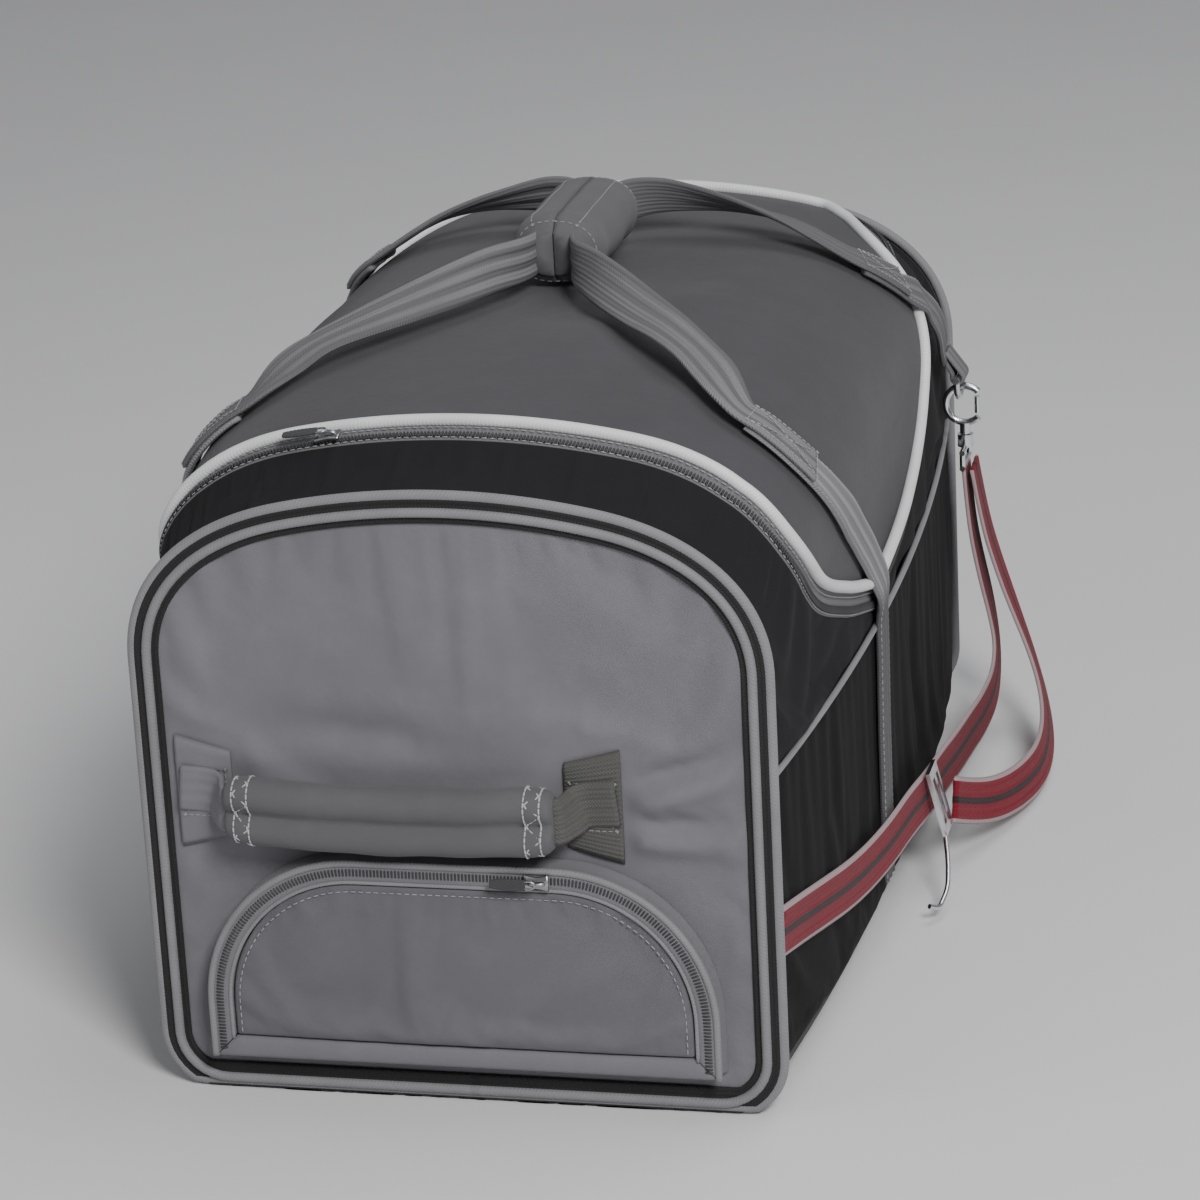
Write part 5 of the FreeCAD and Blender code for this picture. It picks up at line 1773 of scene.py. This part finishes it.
def build_strap():
    """Shoulder strap: striped webbing from the hook's eye to the front seam, and its slack stretch."""
    hook = [NODES[n] for n in ("snap_hook", "hook_gate", "swivel_eye")]
    glide = [NODES[n] for n in ("strap_glide", "strap_clip")]
    # Each band: name, route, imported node, length, the metal on it, and how far it leans at its middle.
    runs = [("strap_band", STRAP_ROUTE, "strap_webbing", 0.69, hook, 0.10),
            ("slack_band", SLACK_ROUTE, "strap_slack", 0.38, glide, 0.25)]
    for name, route, node, length, along, roll in runs:
        path = evenly(spline_points(name, route), step=0.005)
        run = np.linspace(0, 1, len(path))
        lean = roll * np.sin(math.pi * run)
        normals = np.stack([np.cos(lean), 0 * lean, np.sin(lean)], -1)
        band = sweep(name, path, ribbon_shape(STRAP_WIDE, STRAP_THICK, 3, 0.0003), normals,
                     material("strap_webbing"))
        ship(band, "bag", "strap_webbing", node)


# ---------------------------------------------------------------- stage
CAMERA_AT = (0.566, -2.300, 1.005)
CAMERA_AIM = (0.012, -0.02, 0.178)
CAMERA_ROLL = -3.0
CAMERA_LENS = 128.0
SENSOR = 36.0
SKY = (0.80, 0.81, 0.83, 1)
SKY_POWER = 0.26
# Soft disks of light: name, place, size, power and colour. They all face LIT_POINT.
LIT_POINT = (0, 0, 0.15)
LAMPS = [("key", (1.4, -2.3, 2.2), 1.0, 84, (1.0, 0.985, 0.97)),
         ("top", (0.9, 0.4, 2.7), 1.8, 22, (0.97, 0.985, 1.0)),
         ("fill", (-2.4, -1.6, 1.8), 1.6, 9, (0.96, 0.98, 1.0))]
# The floor in side view: from FLOOR_FRONT it turns up at FLOOR_TURN over TURN_RADIUS, and ends at WALL_TOP.
FLOOR_FRONT = (-4.5, 0.0)
FLOOR_TURN = 3.2
TURN_RADIUS = 1.2
WALL_TOP = (4.4, 4.0)
FLOOR_HALF = 5
FLOOR_BELOW = 0.0004


def build_stage():
    """A plain pale floor, soft lights and the camera."""
    floor_material = Shader("floor_plain")
    grain = floor_material.noise(floor_material.place(), 3.0, 2.0)
    tint = floor_material.mix(grain, (0.76, 0.76, 0.77), (0.80, 0.80, 0.81))
    floor_material.set(Base_Color=tint, Roughness=0.85)
    bend = [(FLOOR_TURN + TURN_RADIUS * math.sin(a), TURN_RADIUS - TURN_RADIUS * math.cos(a))
            for a in np.linspace(0, math.pi / 2, 24)]
    line = [FLOOR_FRONT] + bend + [WALL_TOP]
    across = np.linspace(-FLOOR_HALF, FLOOR_HALF, 9)
    rows = np.array([[(x, y, z - FLOOR_BELOW) for y, z in line] for x in across])
    floor = grid_object("studio_floor", rows, floor_material.material, out_from=(0, 20, -20))
    for name, at, size, power, tint in LAMPS:
        lamp = bpy.data.lights.new(name, "AREA")
        lamp.shape = "DISK"
        lamp.size = size
        lamp.energy = power
        lamp.color = tint
        holder = placed(name, lamp)
        holder.location = at
        aim = Vector(LIT_POINT) - Vector(at)
        holder.rotation_euler = aim.to_track_quat("-Z", "Y").to_euler()
    world = bpy.data.worlds.new("studio")
    world.use_nodes = True
    sky = world.node_tree.nodes["Background"]
    sky.inputs["Color"].default_value = SKY
    sky.inputs["Strength"].default_value = SKY_POWER
    bpy.context.scene.world = world
    camera = bpy.data.cameras.new("camera")
    camera.lens = CAMERA_LENS
    camera.sensor_width = SENSOR
    holder = placed("camera", camera)
    aim = Vector(CAMERA_AIM) - Vector(CAMERA_AT)
    turn = aim.to_track_quat("-Z", "Y").to_matrix() @ Matrix.Rotation(math.radians(CAMERA_ROLL), 3, "Z")
    holder.matrix_world = Matrix.Translation(CAMERA_AT) @ turn.to_4x4()
    bpy.context.scene.camera = holder


# ---------------------------------------------------------------- add-on
class DuffelOperator:
    """What every builder shares: it runs one build function."""
    bl_options = {"REGISTER", "UNDO"}

    def execute(self, context):
        self.build()
        return {"FINISHED"}


class DUFFEL_OT_stage(DuffelOperator, bpy.types.Operator):
    """Add the floor, the lights and the camera"""
    bl_idname = "duffel.stage"
    bl_label = "Stage"
    build = staticmethod(build_stage)


class DUFFEL_OT_strap(DuffelOperator, bpy.types.Operator):
    """Add the shoulder strap"""
    bl_idname = "duffel.strap"
    bl_label = "Shoulder strap"
    build = staticmethod(build_strap)


class DUFFEL_OT_metal(DuffelOperator, bpy.types.Operator):
    """Finish the ring, hook and slider, and add the ring's tab"""
    bl_idname = "duffel.metal"
    bl_label = "Ring and hook"
    build = staticmethod(build_metal)


class DUFFEL_OT_sides(DuffelOperator, bpy.types.Operator):
    """Add the two side panels"""
    bl_idname = "duffel.sides"
    bl_label = "Side panels"
    build = staticmethod(build_sides)


class DUFFEL_OT_base(DuffelOperator, bpy.types.Operator):
    """Add the base cloth and finish the base board"""
    bl_idname = "duffel.base"
    bl_label = "Base"
    build = staticmethod(build_base)


class DUFFEL_OT_ends(DuffelOperator, bpy.types.Operator):
    """Add the two end panels"""
    bl_idname = "duffel.ends"
    bl_label = "End panels"
    build = staticmethod(build_ends)


class DUFFEL_OT_band(DuffelOperator, bpy.types.Operator):
    """Add the centre band"""
    bl_idname = "duffel.band"
    bl_label = "Centre band"
    build = staticmethod(build_band)


class DUFFEL_OT_hoods(DuffelOperator, bpy.types.Operator):
    """Add the hoods and gussets at both ends"""
    bl_idname = "duffel.hoods"
    bl_label = "Hoods and gussets"
    build = staticmethod(build_hoods)


class DUFFEL_OT_piping(DuffelOperator, bpy.types.Operator):
    """Add the piping cords"""
    bl_idname = "duffel.piping"
    bl_label = "Piping"
    build = staticmethod(build_piping)


class DUFFEL_OT_zips(DuffelOperator, bpy.types.Operator):
    """Add the main zips' tapes and teeth"""
    bl_idname = "duffel.zips"
    bl_label = "Zips"
    build = staticmethod(build_zips)


class DUFFEL_OT_pulls(DuffelOperator, bpy.types.Operator):
    """Add the zip sliders and pulls"""
    bl_idname = "duffel.pulls"
    bl_label = "Zip pulls"
    build = staticmethod(build_pulls)


class DUFFEL_OT_pocket(DuffelOperator, bpy.types.Operator):
    """Add the end pocket"""
    bl_idname = "duffel.pocket"
    bl_label = "End pocket"
    build = staticmethod(build_pocket)


class DUFFEL_OT_grabs(DuffelOperator, bpy.types.Operator):
    """Add the end grab handles"""
    bl_idname = "duffel.grabs"
    bl_label = "Grab handles"
    build = staticmethod(build_grabs)


class DUFFEL_OT_webbing(DuffelOperator, bpy.types.Operator):
    """Add the sewn webbing"""
    bl_idname = "duffel.webbing"
    bl_label = "Sewn webbing"
    build = staticmethod(build_webbing)


class DUFFEL_OT_carry(DuffelOperator, bpy.types.Operator):
    """Add the carry handles and their wrap"""
    bl_idname = "duffel.carry"
    bl_label = "Carry handles"
    build = staticmethod(build_carry)


OPERATORS = (DUFFEL_OT_stage, DUFFEL_OT_strap, DUFFEL_OT_metal, DUFFEL_OT_base, DUFFEL_OT_sides,
             DUFFEL_OT_ends, DUFFEL_OT_band, DUFFEL_OT_hoods, DUFFEL_OT_piping, DUFFEL_OT_zips,
             DUFFEL_OT_pulls, DUFFEL_OT_pocket, DUFFEL_OT_grabs, DUFFEL_OT_webbing, DUFFEL_OT_carry)


class DUFFEL_PT_panel(bpy.types.Panel):
    """Buttons for the bag's pieces, and their colours and sizes"""
    bl_label = "Sports duffel"
    bl_idname = "DUFFEL_PT_panel"
    bl_space_type = "VIEW_3D"
    bl_region_type = "UI"
    bl_category = "Duffel"

    def draw(self, context):
        column = self.layout.column()
        for operator in OPERATORS:
            column.operator(operator.bl_idname)
        for group in (context.scene.duffel_colours, context.scene.duffel_sizes):
            for name in group.__annotations__:
                column.prop(group, name)


CLASSES = (DuffelColours, DuffelSizes) + OPERATORS + (DUFFEL_PT_panel,)


def register():
    for item in CLASSES:
        bpy.utils.register_class(item)
    bpy.types.Scene.duffel_colours = PointerProperty(type=DuffelColours)
    bpy.types.Scene.duffel_sizes = PointerProperty(type=DuffelSizes)


def unregister():
    del bpy.types.Scene.duffel_sizes
    del bpy.types.Scene.duffel_colours
    for item in reversed(CLASSES):
        bpy.utils.unregister_class(item)


def main():
    register()
    for operator in OPERATORS:
        group, name = operator.bl_idname.split(".")
        getattr(getattr(bpy.ops, group), name)()


if __name__ == "__main__":
    main()
